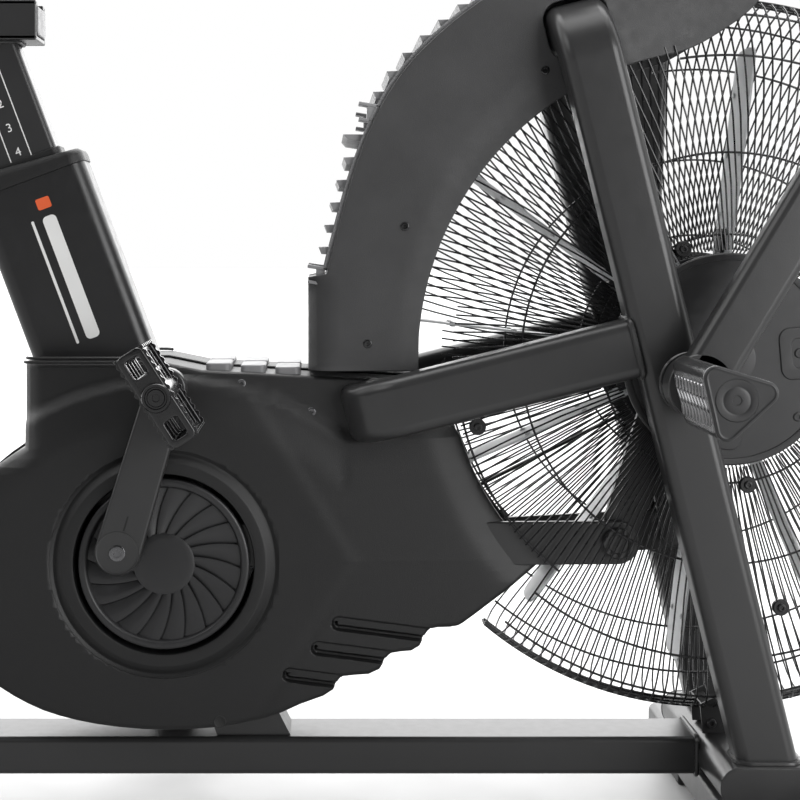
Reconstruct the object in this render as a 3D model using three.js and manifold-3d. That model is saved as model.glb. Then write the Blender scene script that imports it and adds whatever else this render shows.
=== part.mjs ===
// Air bike: a fan-loaded exercise bike with two push-pull levers that are linked to the cranks.
// Millimetres, +Z up, +X to the front, +Y to the rider's left. The origin is on the floor, under the middle.

import * as THREE from 'three';
import { mergeVertices } from 'three/addons/utils/BufferGeometryUtils.js';
import Module from 'manifold-3d';

const wasm = await Module();
wasm.setup();

// ---------------------------------------------------------------- driving dimensions

const GAP = 0.3;                       // clearance between pieces that touch in the real object
const RIGHT = -1;
const LEFT = 1;

// Main points in the X-Z plane
const CRANK = new THREE.Vector2(-281, 293);        // crank spindle axis
const FAN = new THREE.Vector2(298, 504);           // fan axle axis
const PIVOT = new THREE.Vector2(247, 484);         // arm lever pivot axis
const LINK_HEAD = new THREE.Vector2(187.6, 312.5); // right lower arm's pivot to its link bar
const CRANK_PIN = new THREE.Vector2(-326, 309);    // right crank pin
const PEDAL_AXLE = new THREE.Vector2(-276, 476);   // right pedal axle

// Base
const FOOT_HEIGHT = 20;
const BEAM_TOP = 60;
const BASE_TOP = 100;
const BASE_WIDTH = 80;
const REAR_END = -682;
const REAR_BEAM = 70;
const FRONT_BEAM_X = 282;
const BEAM_HALF_SPAN = 255;
const CROSS_X0 = 278.3;
const CROSS_X1 = 378;
const CROSS_TOP = 101;
const CROSS_HALF_SPAN = 152;
const TUBE_WALL = 3;
const WHEEL_R = 30;
const WHEEL_WIDTH = 18;
const WHEEL_X = 382;
const WHEEL_Z = 34;
const WHEEL_Y = 218;

// Frame above the base
const LEAN = THREE.MathUtils.degToRad(14.1);       // uprights and mast, towards the rear
const UPRIGHT_FOOT = new THREE.Vector2(329, 103);
const UPRIGHT_WIDTH = 60;
const UPRIGHT_DEPTH = 47;
const UPRIGHT_INNER = 92;
const UPRIGHT_OUTER = UPRIGHT_INNER + UPRIGHT_DEPTH;
const UPRIGHT_Y = (UPRIGHT_INNER + UPRIGHT_OUTER) / 2;
const ELBOW_R = 40;
const ELBOW_Z = 846;                               // height of the elbows' centre line, on the uprights' line
const MAST_LENGTH = 285;
const YOKE_Z = 451;                                // height of the yoke arms at their rear end
const YOKE_REAR_X = -95;
const YOKE_HEIGHT = 60;
const BRIDGE_HALF = 62;

// Layers across the bike, as distances from its middle plane
const FAN_HALF = 40;
const BELT_IN = 43;
const BELT_OUT = 52;
const ARM_IN = 54;
const ARM_OUT = 64;
const LINK_IN = 65;
const LINK_OUT = 74;
const PLATE_IN = 75;
const CAGE_Y = 83;
const COVER_Y = 85;
const SHROUD_Y = 89;
const CRANK_ARM_IN = 95;
const CRANK_ARM_OUT = 115;
const PEDAL_IN = 124;
const PEDAL_OUT = 225;
const LEVER_IN = 165;
const LEVER_OUT = 195;
const PEG_IN = 200;
const PEG_OUT = 338;

// Drive
const SPINDLE_R = 10;
const CRANK_PULLEY_R = 92;
const FAN_PULLEY_R = 22;
const BELT_THICKNESS = 3;
const DISC_R = 88;
const PEDAL_TILT = THREE.MathUtils.degToRad(57);   // nose-down angle of both pedals
const PEDAL_LENGTH = 104;
const PEDAL_THICK = 34;

// Fan, cage and shroud
const FAN_AXLE_R = 8;
const FAN_R = 330;
const BLADES = 12;
const FIRST_BLADE = 23.3;                          // degrees from the front
const BLADE_ROOT = 60;
const BLADE_TWIST = 1;                             // degrees
const CAGE_RINGS = [128, 250, 366];
const CAGE_RIM_R = 378;
const CAGE_WIRE = 4;
const CAGE_SPOKES = 8;
const CAGE_GAP_START = 80;                         // degrees: the rim is left out from here ...
const CAGE_GAP_END = 229;                          // ... to here, behind the shroud and the cover
const CAGE_COVER_START = 166;                      // degrees: the cover's part of that gap begins here
const CAGE_SHROUD_REACH = 326;                     // radius of the spokes that end under the shroud
const HUB_COVER_R = 109;
const COVER_EDGE_R = 284;                          // front edge of the rear cover, round the fan
const SHROUD_INNER_R = 318;
const SHROUD_OUTER_R = 446;
const SHROUD_REAR_R = 421;
const SHROUD_FRONT_ANGLE = 80;                     // degrees round the fan where the shroud's rim ends
const SHROUD_REAR_ANGLE = 168;
const SHROUD_REAR_X = -133;
const SHROUD_REAR_TOP = 588;
const SHROUD_FOOT = 491.5;
const SHROUD_WALL = 3;
const FIN_LENGTH = 17;
const FIN_PITCH = 2.7;                             // degrees
const FIRST_FIN = 119;
const LAST_FIN = 165;

// Levers
const LEVER_LEAN = THREE.MathUtils.degToRad(31);   // right lever, towards the front
const LEVER_WIDTH = 50;
const LEVER_BAR_R = 16;
const GRIP_R = 20;
const SLEEVE_R = 15;
const PEG_AXLE_R = 9;

// Seat
const SEAT_LEAN = THREE.MathUtils.degToRad(20.5);
const SEAT_TUBE_TOP = 423;                         // along the seat tube, from the crank spindle
const SEAT_TUBE_BOTTOM = 46;
const SEAT_TUBE_LENGTH = 125;
const SEAT_TUBE_WIDTH = 70;
const SEAT_PIN_DROP = 45;                          // pull pin, below the tube's top
const POST_BOTTOM = 170;
const POST_LENGTH = 78;
const POST_WIDTH = 40;
const SLIDER_Z = 843;
const SLIDER_HEIGHT = 30;
const SLIDER_REAR = -640;
const SLIDER_FRONT = -418;
const SADDLE_PILLAR_X = -560;
const SADDLE_PILLAR_TOP = 905;
const HEAD_HALF = new THREE.Vector2(65, 31);       // half length and half width of the post's head

const STEEL = { color: 0x26272a, roughness: 0.42, metalness: 0.55 };
const PLASTIC = { color: 0x303134, roughness: 0.62, metalness: 0.0 };
const RUBBER = { color: 0x18181a, roughness: 0.85, metalness: 0.0 };
const CHROME = { color: 0xb9bcc0, roughness: 0.22, metalness: 1.0 };
const FAN_STEEL = { color: 0x8d9093, roughness: 0.4, metalness: 0.6 };
const FOAM = { color: 0x1d1d1f, roughness: 0.95, metalness: 0.0 };

const X_AXIS = new THREE.Vector3(1, 0, 0);
const Y_AXIS = new THREE.Vector3(0, 1, 0);
const Z_AXIS = new THREE.Vector3(0, 0, 1);

const bike = new THREE.Group();

// ---------------------------------------------------------------- solids and meshes

function toSolid(geometry) {
  const bare = geometry.clone();
  bare.deleteAttribute('normal');
  bare.deleteAttribute('uv');
  const merged = mergeVertices(bare, 1e-4);
  return new wasm.Manifold(new wasm.Mesh({
    numProp: 3,
    vertProperties: new Float32Array(merged.attributes.position.array),
    triVerts: new Uint32Array(merged.index.array),
  }));
}

function union(...solids) {
  return solids.reduce((sum, solid) => sum.add(solid));
}

function cut(solid, ...tools) {
  return tools.reduce((rest, tool) => rest.subtract(tool), solid);
}

function toGeometry(solid) {
  const mesh = solid.getMesh();
  const geometry = new THREE.BufferGeometry();
  geometry.setAttribute('position', new THREE.BufferAttribute(mesh.vertProperties, 3));
  geometry.setIndex(new THREE.BufferAttribute(mesh.triVerts, 1));
  geometry.computeVertexNormals();
  return geometry;
}

function addPiece(name, solid, finish) {
  const mesh = new THREE.Mesh(toGeometry(solid), new THREE.MeshStandardMaterial(finish));
  mesh.name = name;
  bike.add(mesh);
}

function box(x0, x1, y0, y1, z0, z1) {
  const geometry = new THREE.BoxGeometry(x1 - x0, y1 - y0, z1 - z0);
  geometry.translate((x0 + x1) / 2, (y0 + y1) / 2, (z0 + z1) / 2);
  return toSolid(geometry);
}

// The stretch from inner to outer on one side of the middle plane, low end first.
function span(side, inner, outer) {
  return side > 0 ? [inner, outer] : [-outer, -inner];
}

// A round bar across the bike, between two values of Y.
function barY(centre, radius, y0, y1, sides = 16) {
  const geometry = new THREE.CylinderGeometry(radius, radius, y1 - y0, sides);
  geometry.translate(centre.x, (y0 + y1) / 2, centre.y);
  return toSolid(geometry);
}

// A plate cut to a shape in the X-Z plane, between two values of Y.
function plateY(shape, y0, y1, curveSegments = 4) {
  const geometry = new THREE.ExtrudeGeometry(shape, { depth: y1 - y0, bevelEnabled: false, curveSegments });
  geometry.rotateX(Math.PI / 2);
  geometry.translate(0, y1, 0);
  return toSolid(geometry);
}

function polygon(points) {
  return new THREE.Shape(points.map(([x, z]) => new THREE.Vector2(x, z)));
}

function roundedRect(width, height, radius, PathClass = THREE.Shape) {
  const [w, h] = [width / 2, height / 2];
  const path = new PathClass();
  path.moveTo(-w + radius, -h);
  path.lineTo(w - radius, -h);
  path.absarc(w - radius, -h + radius, radius, -Math.PI / 2, 0);
  path.lineTo(w, h - radius);
  path.absarc(w - radius, h - radius, radius, 0, Math.PI / 2);
  path.lineTo(-w + radius, h);
  path.absarc(-w + radius, h - radius, radius, Math.PI / 2, Math.PI);
  path.lineTo(-w, -h + radius);
  path.absarc(-w + radius, -h + radius, radius, Math.PI, 1.5 * Math.PI);
  return path;
}

function hollowRect(width, height, radius, wall = TUBE_WALL) {
  const shape = roundedRect(width, height, radius);
  const inner = Math.max(radius - wall, 1);
  shape.holes.push(roundedRect(width - 2 * wall, height - 2 * wall, inner, THREE.Path));
  return shape;
}

// A shape extruded from the origin and turned so that its x, y and depth follow three directions.
function extrudeAlong(shape, depth, xDir, yDir, zDir, origin, curveSegments = 1) {
  const geometry = new THREE.ExtrudeGeometry(shape, { depth, bevelEnabled: false, curveSegments });
  geometry.applyMatrix4(new THREE.Matrix4().makeBasis(xDir, yDir, zDir));
  geometry.translate(origin.x, origin.y, origin.z);
  return toSolid(geometry);
}

// A route of straight runs joined by arcs, stepped only where it turns.
class Route extends THREE.Curve {
  constructor(stations) {
    super();
    this.stations = stations;
  }

  getPoint(t) {
    const last = this.stations.length - 1;
    const index = Math.min(Math.floor(t * last + 1e-6), last - 1);
    return this.stations[index].clone().lerp(this.stations[index + 1], t * last - index);
  }

  getPointAt(t) {
    return this.getPoint(t);
  }

  getTangentAt(t) {
    const last = this.stations.length - 1;
    const index = Math.round(t * last);
    const before = this.stations[Math.max(index - 1, 0)];
    const after = this.stations[Math.min(index + 1, last)];
    const here = this.stations[index];
    const tangent = new THREE.Vector3();
    if (index > 0) tangent.add(here.clone().sub(before).normalize());
    if (index < last) tangent.add(after.clone().sub(here).normalize());
    return tangent.normalize();
  }
}

function filletedRoute(corners, radius, stepsPerBend = 4) {
  const stations = [corners[0].clone()];
  for (let i = 1; i < corners.length - 1; i++) {
    const back = corners[i - 1].clone().sub(corners[i]).normalize();
    const ahead = corners[i + 1].clone().sub(corners[i]).normalize();
    const half = back.angleTo(ahead) / 2;
    const reach = radius / Math.tan(half);
    const start = corners[i].clone().addScaledVector(back, reach);
    const middle = back.clone().add(ahead).normalize();
    const centre = corners[i].clone().addScaledVector(middle, radius / Math.sin(half));
    const arm = start.clone().sub(centre);
    const axis = back.clone().negate().cross(ahead).normalize();
    for (let step = 0; step <= stepsPerBend; step++) {
      const turn = (Math.PI - 2 * half) * step / stepsPerBend;
      stations.push(centre.clone().add(arm.clone().applyAxisAngle(axis, turn)));
    }
  }
  stations.push(corners[corners.length - 1].clone());
  return new Route(stations);
}

function sweep(shape, route, curveSegments = 1) {
  const steps = route.stations.length - 1;
  return toSolid(new THREE.ExtrudeGeometry(shape, { steps, extrudePath: route, curveSegments }));
}

// The outline round two circles and the straight tangents between them.
function beltOutline(a, ra, b, rb, PathClass = THREE.Shape) {
  const line = Math.atan2(b.y - a.y, b.x - a.x);
  const spread = Math.acos((ra - rb) / a.distanceTo(b));
  const path = new PathClass();
  path.absarc(a.x, a.y, ra, line + spread, line - spread + 2 * Math.PI);
  path.absarc(b.x, b.y, rb, line - spread, line + spread);
  path.closePath();
  return path;
}

function polar(centre, radius, degrees) {
  const angle = THREE.MathUtils.degToRad(degrees);
  return new THREE.Vector2(centre.x + radius * Math.cos(angle), centre.y + radius * Math.sin(angle));
}

function mirrored(point, centre) {
  return centre.clone().multiplyScalar(2).sub(point);
}

function spanOf(side, inner, outer) {
  const [y0, y1] = span(side, inner, outer);
  return { y0, y1 };
}

const nameOf = (side) => (side === RIGHT ? 'right' : 'left');

// ---------------------------------------------------------------- base

const Y_TO_Z = [Z_AXIS, X_AXIS, Y_AXIS];           // section x up, section y forward, depth to the left

function beamY(sectionUp, sectionAlong, radius, x, z, halfSpan) {
  const shape = hollowRect(sectionUp, sectionAlong, radius);
  return extrudeAlong(shape, 2 * halfSpan, ...Y_TO_Z, new THREE.Vector3(x, -halfSpan, z));
}

function makeBase() {
  const beamZ = (FOOT_HEIGHT + BEAM_TOP) / 2;
  const beamHeight = BEAM_TOP - FOOT_HEIGHT;
  const baseHeight = BASE_TOP - BEAM_TOP - GAP;
  const base = extrudeAlong(hollowRect(BASE_WIDTH, baseHeight, 5), CROSS_X0 - GAP - REAR_END - 4,
    Y_AXIS, Z_AXIS, X_AXIS, new THREE.Vector3(REAR_END + 4, 0, BASE_TOP - baseHeight / 2));
  addPiece('base_tube', base, STEEL);

  const rearX = REAR_END + REAR_BEAM / 2;
  const frontX = FRONT_BEAM_X + REAR_BEAM / 2;
  const footHole = (x, y) => {
    const geometry = new THREE.CylinderGeometry(6, 6, 30, 16);
    geometry.rotateX(Math.PI / 2);
    geometry.translate(x, y, FOOT_HEIGHT);
    return toSolid(geometry);
  };
  let rear = beamY(beamHeight, REAR_BEAM, 8, rearX, beamZ, BEAM_HALF_SPAN);
  for (const side of [RIGHT, LEFT]) {
    rear = cut(rear, footHole(rearX, side * (BEAM_HALF_SPAN - 35)));
    makeLevellingFoot(side, rearX, side * (BEAM_HALF_SPAN - 35));
  }
  addPiece('rear_stabilizer', rear, STEEL);

  let front = beamY(beamHeight, REAR_BEAM, 8, frontX, beamZ, BEAM_HALF_SPAN);
  for (const side of [RIGHT, LEFT]) {
    const axle = new THREE.Vector2(WHEEL_X, WHEEL_Z);
    for (const offset of [-1, 1]) {
      const y = side * WHEEL_Y + offset * (WHEEL_WIDTH / 2 + 4);
      const lug = polygon([[FRONT_BEAM_X + REAR_BEAM - 1, 24], [WHEEL_X, 24], [WHEEL_X + 10, 30],
        [WHEEL_X + 10, 42], [WHEEL_X, 48], [FRONT_BEAM_X + REAR_BEAM - 1, 56]]);
      front = union(front, plateY(lug, y - 2, y + 2));
    }
    front = union(front, barY(axle, 5, side * WHEEL_Y - 15, side * WHEEL_Y + 15, 12));
    const [y0, y1] = span(side, 120, 180);
    front = union(front, box(frontX - 25, frontX + 25, y0, y1, 0, FOOT_HEIGHT + 1));
    const wheel = new THREE.LatheGeometry([[5.5, -8], [WHEEL_R - 3, -9], [WHEEL_R, -6], [WHEEL_R, 6],
      [WHEEL_R - 3, 9], [5.5, 8], [5.5, -8]].map(([r, y]) => new THREE.Vector2(r, y)), 18);
    wheel.translate(WHEEL_X, side * WHEEL_Y, WHEEL_Z);
    addPiece(`transport_wheel_${nameOf(side)}`, toSolid(wheel), RUBBER);
  }
  addPiece('front_stabilizer', front, STEEL);

  const cross = beamY(CROSS_TOP - BEAM_TOP - GAP, CROSS_X1 - CROSS_X0, 19, (CROSS_X0 + CROSS_X1) / 2,
    (CROSS_TOP + BEAM_TOP + GAP) / 2, CROSS_HALF_SPAN);
  addPiece('front_cross_member', cross, STEEL);
}

function makeLevellingFoot(side, x, y) {
  const profile = [[0, 0], [24, 0], [24, 5], [10, 11], [5.5, 12], [5.5, 32], [0, 32]];
  const geometry = new THREE.LatheGeometry(profile.map(([r, z]) => new THREE.Vector2(r, z)), 12);
  geometry.rotateX(Math.PI / 2);
  geometry.translate(x, y, 0);
  addPiece(`levelling_foot_${nameOf(side)}`, toSolid(geometry), RUBBER);
}

// ---------------------------------------------------------------- welded frame

const UP = new THREE.Vector3(-Math.sin(LEAN), 0, Math.cos(LEAN));         // up the uprights
const ACROSS = new THREE.Vector3(Math.cos(LEAN), 0, Math.sin(LEAN));      // forward, square to them
const YOKE_END = new THREE.Vector2(YOKE_REAR_X + UPRIGHT_DEPTH / 2, YOKE_Z);

function alongUpright(z, y = 0) {
  const x = UPRIGHT_FOOT.x + (UPRIGHT_FOOT.y - z) * Math.tan(LEAN);
  return new THREE.Vector3(x, y, z);
}

const ELBOW = alongUpright(ELBOW_Z);

function makeUpright(side) {
  const y = side * UPRIGHT_Y;
  const route = filletedRoute([alongUpright(80, y), alongUpright(ELBOW_Z, y),
    new THREE.Vector3(ELBOW.x, side * (UPRIGHT_WIDTH / 2 + GAP), ELBOW_Z)], ELBOW_R);
  let solid = sweep(hollowRect(UPRIGHT_DEPTH, UPRIGHT_WIDTH, 12), route);
  solid = cut(solid, box(200, 450, -200, 200, 0, CROSS_TOP + GAP));
  const block = spanOf(side, PLATE_IN, UPRIGHT_INNER + TUBE_WALL - 1);
  const plate = spanOf(side, PLATE_IN, PLATE_IN + 5);
  const lug = beltOutline(PIVOT, 27, FAN, 20);
  solid = union(solid, plateY(lug, plate.y0, plate.y1), barY(PIVOT, 27, block.y0, block.y1));
  solid = cut(solid, barY(PIVOT, SLEEVE_R + 0.5, -UPRIGHT_OUTER - 5, UPRIGHT_OUTER + 5),
    barY(FAN, FAN_AXLE_R + 0.4, -UPRIGHT_OUTER, UPRIGHT_OUTER));
  addPiece(`upright_${nameOf(side)}`, solid, STEEL);
}

function makeYokeArm(side) {
  const y = side * UPRIGHT_Y;
  const end = new THREE.Vector3(YOKE_END.x, y, YOKE_END.y);
  const inner = new THREE.Vector3(YOKE_END.x, side * (BRIDGE_HALF + GAP), YOKE_END.y);
  const length = (alongUpright(520).x - YOKE_END.x) / Math.cos(LEAN);
  const front = end.clone().addScaledVector(ACROSS, length);
  let solid = sweep(hollowRect(UPRIGHT_DEPTH, YOKE_HEIGHT, 12), filletedRoute([front, end, inner], ELBOW_R));
  const faces = new THREE.BoxGeometry(200, 400, 400);
  faces.translate(100 - UPRIGHT_WIDTH / 2 - GAP, 0, 0);
  faces.applyMatrix4(new THREE.Matrix4().makeBasis(ACROSS, Y_AXIS, UP));
  const weld = alongUpright(520);
  faces.translate(weld.x, 0, weld.z);
  solid = cut(solid, toSolid(faces));
  addPiece(`yoke_arm_${nameOf(side)}`, solid, STEEL);
}

function makeMast() {
  const shape = hollowRect(UPRIGHT_WIDTH, UPRIGHT_WIDTH, 12);
  const start = ELBOW.clone().addScaledVector(UP, -UPRIGHT_DEPTH / 2);
  let mast = extrudeAlong(shape, MAST_LENGTH + UPRIGHT_DEPTH / 2, ACROSS, Y_AXIS.clone().negate(),
    UP.clone().negate(), ELBOW.clone().addScaledVector(UP, MAST_LENGTH));
  const top = ELBOW.clone().addScaledVector(UP, MAST_LENGTH);
  mast = union(mast, extrudeAlong(roundedRect(UPRIGHT_WIDTH, UPRIGHT_WIDTH, 12), 5, ACROSS,
    Y_AXIS.clone().negate(), UP.clone().negate(), top));
  mast = union(mast, barY(new THREE.Vector2(top.x, top.z + 24), 16, -14, 14));
  mast = union(mast, plateY(polygon([[top.x - 22, top.z - 12], [top.x + 24, top.z - 2],
    [top.x + 15, top.z + 24], [top.x - 15, top.z + 24]]), -14, 14));
  mast = cut(mast, barY(new THREE.Vector2(top.x, top.z + 24), 6, -20, 20, 16));
  addPiece('console_mast', mast, STEEL);
  return { start, top };
}

function makeMainFrame() {
  const shellHalf = 35;
  let solid = barY(CRANK, 32, -shellHalf, shellHalf);
  solid = union(solid,
    plateY(polygon([[-230, BASE_TOP + GAP], [-152, BASE_TOP + GAP], [-250, 292], [-300, 292]]), -30, 30),
    plateY(polygon([[-285, 300], [-262, 262], [-62, 440], [-60, 472], [-92, 474]]), -25, 25),
    box(YOKE_REAR_X + 3, YOKE_REAR_X + UPRIGHT_DEPTH - 10, -BRIDGE_HALF, BRIDGE_HALF, 452, 474));
  const seatPad = new THREE.BoxGeometry(100, 60, 24);
  seatPad.translate(0, 0, SEAT_TUBE_BOTTOM - 12 - GAP);
  solid = union(solid, toSolid(onSeatLine(seatPad)));
  solid = cut(solid, barY(CRANK, 24, -shellHalf - 1, shellHalf + 1));
  addPiece('main_frame', solid, STEEL);
  for (const side of [RIGHT, LEFT]) {
    const { y0, y1 } = spanOf(side, 20, shellHalf - 1);
    const ring = cut(barY(CRANK, 23.7, y0, y1), barY(CRANK, SPINDLE_R + GAP, y0 - 1, y1 + 1));
    addPiece(`crank_bearing_${nameOf(side)}`, ring, CHROME);
  }
}

// ---------------------------------------------------------------- seat

function onSeatLine(geometry) {
  geometry.rotateY(-SEAT_LEAN);
  geometry.translate(CRANK.x, 0, CRANK.y);
  return geometry;
}

function seatSection(shape, from, to) {
  const settings = { depth: to - from, bevelEnabled: false, curveSegments: 1 };
  const geometry = new THREE.ExtrudeGeometry(shape, settings);
  geometry.translate(0, 0, from);
  return toSolid(onSeatLine(geometry));
}

// A round bar square to the seat tube's rear face, between two distances from the tube's middle.
function pinBehindSeat(along, radius, from, to, sides = 16) {
  const geometry = new THREE.CylinderGeometry(radius, radius, to - from, sides);
  geometry.rotateZ(Math.PI / 2);
  geometry.translate(-(from + to) / 2, 0, along);
  return toSolid(onSeatLine(geometry));
}

function makeSeat() {
  const pinAt = SEAT_TUBE_TOP - SEAT_PIN_DROP;
  const rearFace = SEAT_TUBE_LENGTH / 2;
  let tube = seatSection(hollowRect(SEAT_TUBE_LENGTH, SEAT_TUBE_WIDTH, 16), SEAT_TUBE_BOTTOM, SEAT_TUBE_TOP);
  tube = cut(tube, pinBehindSeat(pinAt, 9, rearFace - 20, rearFace + 5));
  addPiece('seat_tube', tube, STEEL);

  const bore = roundedRect(POST_LENGTH + 1.2, POST_WIDTH + 1.2, 8);
  const plug = roundedRect(SEAT_TUBE_LENGTH - 2 * TUBE_WALL - 1, SEAT_TUBE_WIDTH - 2 * TUBE_WALL - 1, 12);
  const flange = roundedRect(SEAT_TUBE_LENGTH + 3, SEAT_TUBE_WIDTH + 3, 17);
  let collar = union(seatSection(plug, SEAT_TUBE_TOP - 80, SEAT_TUBE_TOP + 5),
    seatSection(flange, SEAT_TUBE_TOP + GAP, SEAT_TUBE_TOP + 14));
  collar = cut(collar, seatSection(bore, SEAT_TUBE_TOP - 100, SEAT_TUBE_TOP + 30),
    pinBehindSeat(pinAt, 9, POST_LENGTH / 2 + 8, rearFace + 5));
  addPiece('seat_tube_collar', collar, PLASTIC);

  const pin = union(pinBehindSeat(pinAt, 8.5, POST_LENGTH / 2 + 9, rearFace + 12),
    pinBehindSeat(pinAt, 20, rearFace + 12, rearFace + 34, 20));
  addPiece('post_pull_pin', pin, RUBBER);

  const headZ = SLIDER_Z - 6;
  const postTop = (headZ - CRANK.y) / Math.cos(SEAT_LEAN);
  const post = cut(seatSection(hollowRect(POST_LENGTH, POST_WIDTH, 7, 2.5), POST_BOTTOM, postTop + 30),
    box(-800, 0, -60, 60, headZ, headZ + 100));
  const headX = CRANK.x - (headZ - CRANK.y) * Math.tan(SEAT_LEAN);
  const head = box(headX - HEAD_HALF.x, headX + HEAD_HALF.x, -HEAD_HALF.y, HEAD_HALF.y, headZ - 1,
    SLIDER_Z + SLIDER_HEIGHT + 6);
  const sliderGap = GAP + 0.1;
  const tunnel = box(headX - 90, headX + 90, -25 - sliderGap, 25 + sliderGap, SLIDER_Z - sliderGap,
    SLIDER_Z + SLIDER_HEIGHT + sliderGap);
  const slot = box(headX - 90, headX + 90, -14, 14, SLIDER_Z, SLIDER_Z + SLIDER_HEIGHT + 10);
  const knobAt = new THREE.Vector2(headX, SLIDER_Z + SLIDER_HEIGHT / 2);
  const screwHole = barY(knobAt, 6, 20, 40);
  addPiece('seat_post', cut(union(post, head), tunnel, slot, screwHole), STEEL);

  const knob = union(barY(knobAt, 5.5, 25.6, 44), barY(knobAt, 20, 36, 58, 12));
  addPiece('slider_clamp_knob', knob, RUBBER);

  const sliderShape = hollowRect(SLIDER_HEIGHT, 50, 5, 2.5);
  const slider = extrudeAlong(sliderShape, SLIDER_FRONT - SLIDER_REAR, Z_AXIS, Y_AXIS.clone().negate(), X_AXIS,
    new THREE.Vector3(SLIDER_REAR, 0, SLIDER_Z + SLIDER_HEIGHT / 2));
  const pillar = box(SADDLE_PILLAR_X - 20, SADDLE_PILLAR_X + 20, -13, 13, SLIDER_Z + SLIDER_HEIGHT - 1,
    SADDLE_PILLAR_TOP);
  addPiece('seat_slider', union(slider, pillar), STEEL);
  makeSaddle(SADDLE_PILLAR_X);
}

function makeSaddle(x) {
  const shape = new THREE.Shape();
  shape.moveTo(190, 0);
  shape.bezierCurveTo(190, 26, 150, 24, 90, 30);
  shape.bezierCurveTo(40, 38, 10, 105, -45, 118);
  shape.bezierCurveTo(-100, 126, -120, 80, -120, 0);
  shape.bezierCurveTo(-120, -80, -100, -126, -45, -118);
  shape.bezierCurveTo(10, -105, 40, -38, 90, -30);
  shape.bezierCurveTo(150, -24, 190, -26, 190, 0);
  const geometry = new THREE.ExtrudeGeometry(shape, { depth: 52, bevelEnabled: true, bevelThickness: 14,
    bevelSize: 12, bevelOffset: -12, bevelSegments: 2, curveSegments: 4 });
  geometry.translate(x + 20, 0, 919.5);
  addPiece('saddle', toSolid(geometry), FOAM);
}

// ---------------------------------------------------------------- rear cover

// Side outline of the rear cover, drawn inside the true edge by inset.
function coverShape(inset = 0) {
  const tipAngle = THREE.MathUtils.degToRad(228.5 - inset * 0.5);
  const shape = new THREE.Shape();
  const i = inset;
  shape.moveTo(-426 + i, 500 - i);
  shape.lineTo(-426 + i, 412);
  shape.bezierCurveTo(-475 + i, 385, -516 + i, 335, -519 + i, 285);
  shape.bezierCurveTo(-522 + i, 215, -470 + i, 165 + i, -407, 140 + i);
  shape.bezierCurveTo(-330, 112 + i, -205, 108 + i, -109, 160 + i);
  for (const [x, z] of [[-99, 175], [-48, 200], [-7, 225]]) {
    shape.lineTo(x - i, z + i);
    shape.lineTo(x + 26, z + 2 + i);
  }
  shape.lineTo(44 - i, 241 + i);
  shape.absarc(FAN.x, FAN.y, COVER_EDGE_R, tipAngle, THREE.MathUtils.degToRad(196), true);
  shape.lineTo(-20 - i, 480 - i);
  shape.lineTo(-243, 492 - i);
  shape.lineTo(-282, 500 - i);
  shape.closePath();
  return shape;
}

function makeCover(side) {
  const wall = 3;
  const { y0, y1 } = spanOf(side, GAP / 2, COVER_Y);
  const inner = spanOf(side, -1, COVER_Y - wall);
  let solid = cut(plateY(coverShape(), y0, y1, 8), plateY(coverShape(wall), inner.y0, inner.y1, 8));
  const front = new THREE.Shape().absarc(FAN.x, FAN.y, FAN_R + 6, 0, 2 * Math.PI);
  solid = cut(solid, plateY(front, inner.y0, inner.y1, 24));
  solid = cut(solid, barY(CRANK, 92, -100, 100, 40));
  const armEnd = new THREE.BoxGeometry(UPRIGHT_DEPTH + 12, 400, YOKE_HEIGHT + 3);
  armEnd.rotateY(-LEAN);
  armEnd.translate(YOKE_END.x + 4, 0, YOKE_END.y);
  solid = cut(solid, toSolid(armEnd));
  solid = cut(solid, box(-300, -150, -31, 31, 90, 200), box(-232, -150, -31, 31, 90, 240));
  const tubeHole = roundedRect(SEAT_TUBE_LENGTH + 2, SEAT_TUBE_WIDTH + 2, 17);
  solid = cut(solid, seatSection(tubeHole, 100, 300));
  addPiece(`rear_cover_${nameOf(side)}`, solid, PLASTIC);
}

// ---------------------------------------------------------------- shroud round the fan

function shroudRadius(degrees) {
  const ease = THREE.MathUtils.smoothstep(degrees, 135, 165);
  return SHROUD_OUTER_R + (SHROUD_REAR_R - SHROUD_OUTER_R) * ease;
}

// Points of the shroud's outer edge, drawn in by inset, from its front end to its rear foot.
function shroudEdge(inset) {
  const points = [];
  for (let a = SHROUD_FRONT_ANGLE; a <= SHROUD_REAR_ANGLE; a += 4) {
    points.push(polar(FAN, shroudRadius(a) - inset, a).toArray());
  }
  const rearX = SHROUD_REAR_X + inset;
  return [...points, [rearX, SHROUD_REAR_TOP - inset], [rearX, SHROUD_FOOT]];
}

// The shroud's side outline; its outer edge is drawn in by inset and its inner edge lies at innerR.
function shroudShape(inset, innerR) {
  const points = shroudEdge(inset);
  points.push([FAN.x - Math.sqrt(innerR ** 2 - (FAN.y - SHROUD_FOOT) ** 2), SHROUD_FOOT]);
  for (let a = 176; a >= 100; a -= 4) {
    points.push(polar(FAN, innerR, a).toArray());
  }
  const depth = SHROUD_OUTER_R - inset - innerR;
  for (const [angle, share] of [[94, 0.07], [87, 0.28], [82, 0.6]]) {
    points.push(polar(FAN, innerR + share * depth, angle).toArray());
  }
  return polygon(points);
}

// The stiffening lip inside a side panel's outer edge.
function shroudLip(side) {
  const lip = spanOf(side, SHROUD_Y - 14, SHROUD_Y - 1);
  const ring = plateY(shroudShape(SHROUD_WALL + 1, SHROUD_INNER_R + 66), lip.y0, lip.y1);
  return cut(ring, plateY(shroudShape(2 * SHROUD_WALL + 1, SHROUD_INNER_R + 60), lip.y0 - 20, lip.y1 + 20));
}

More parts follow.
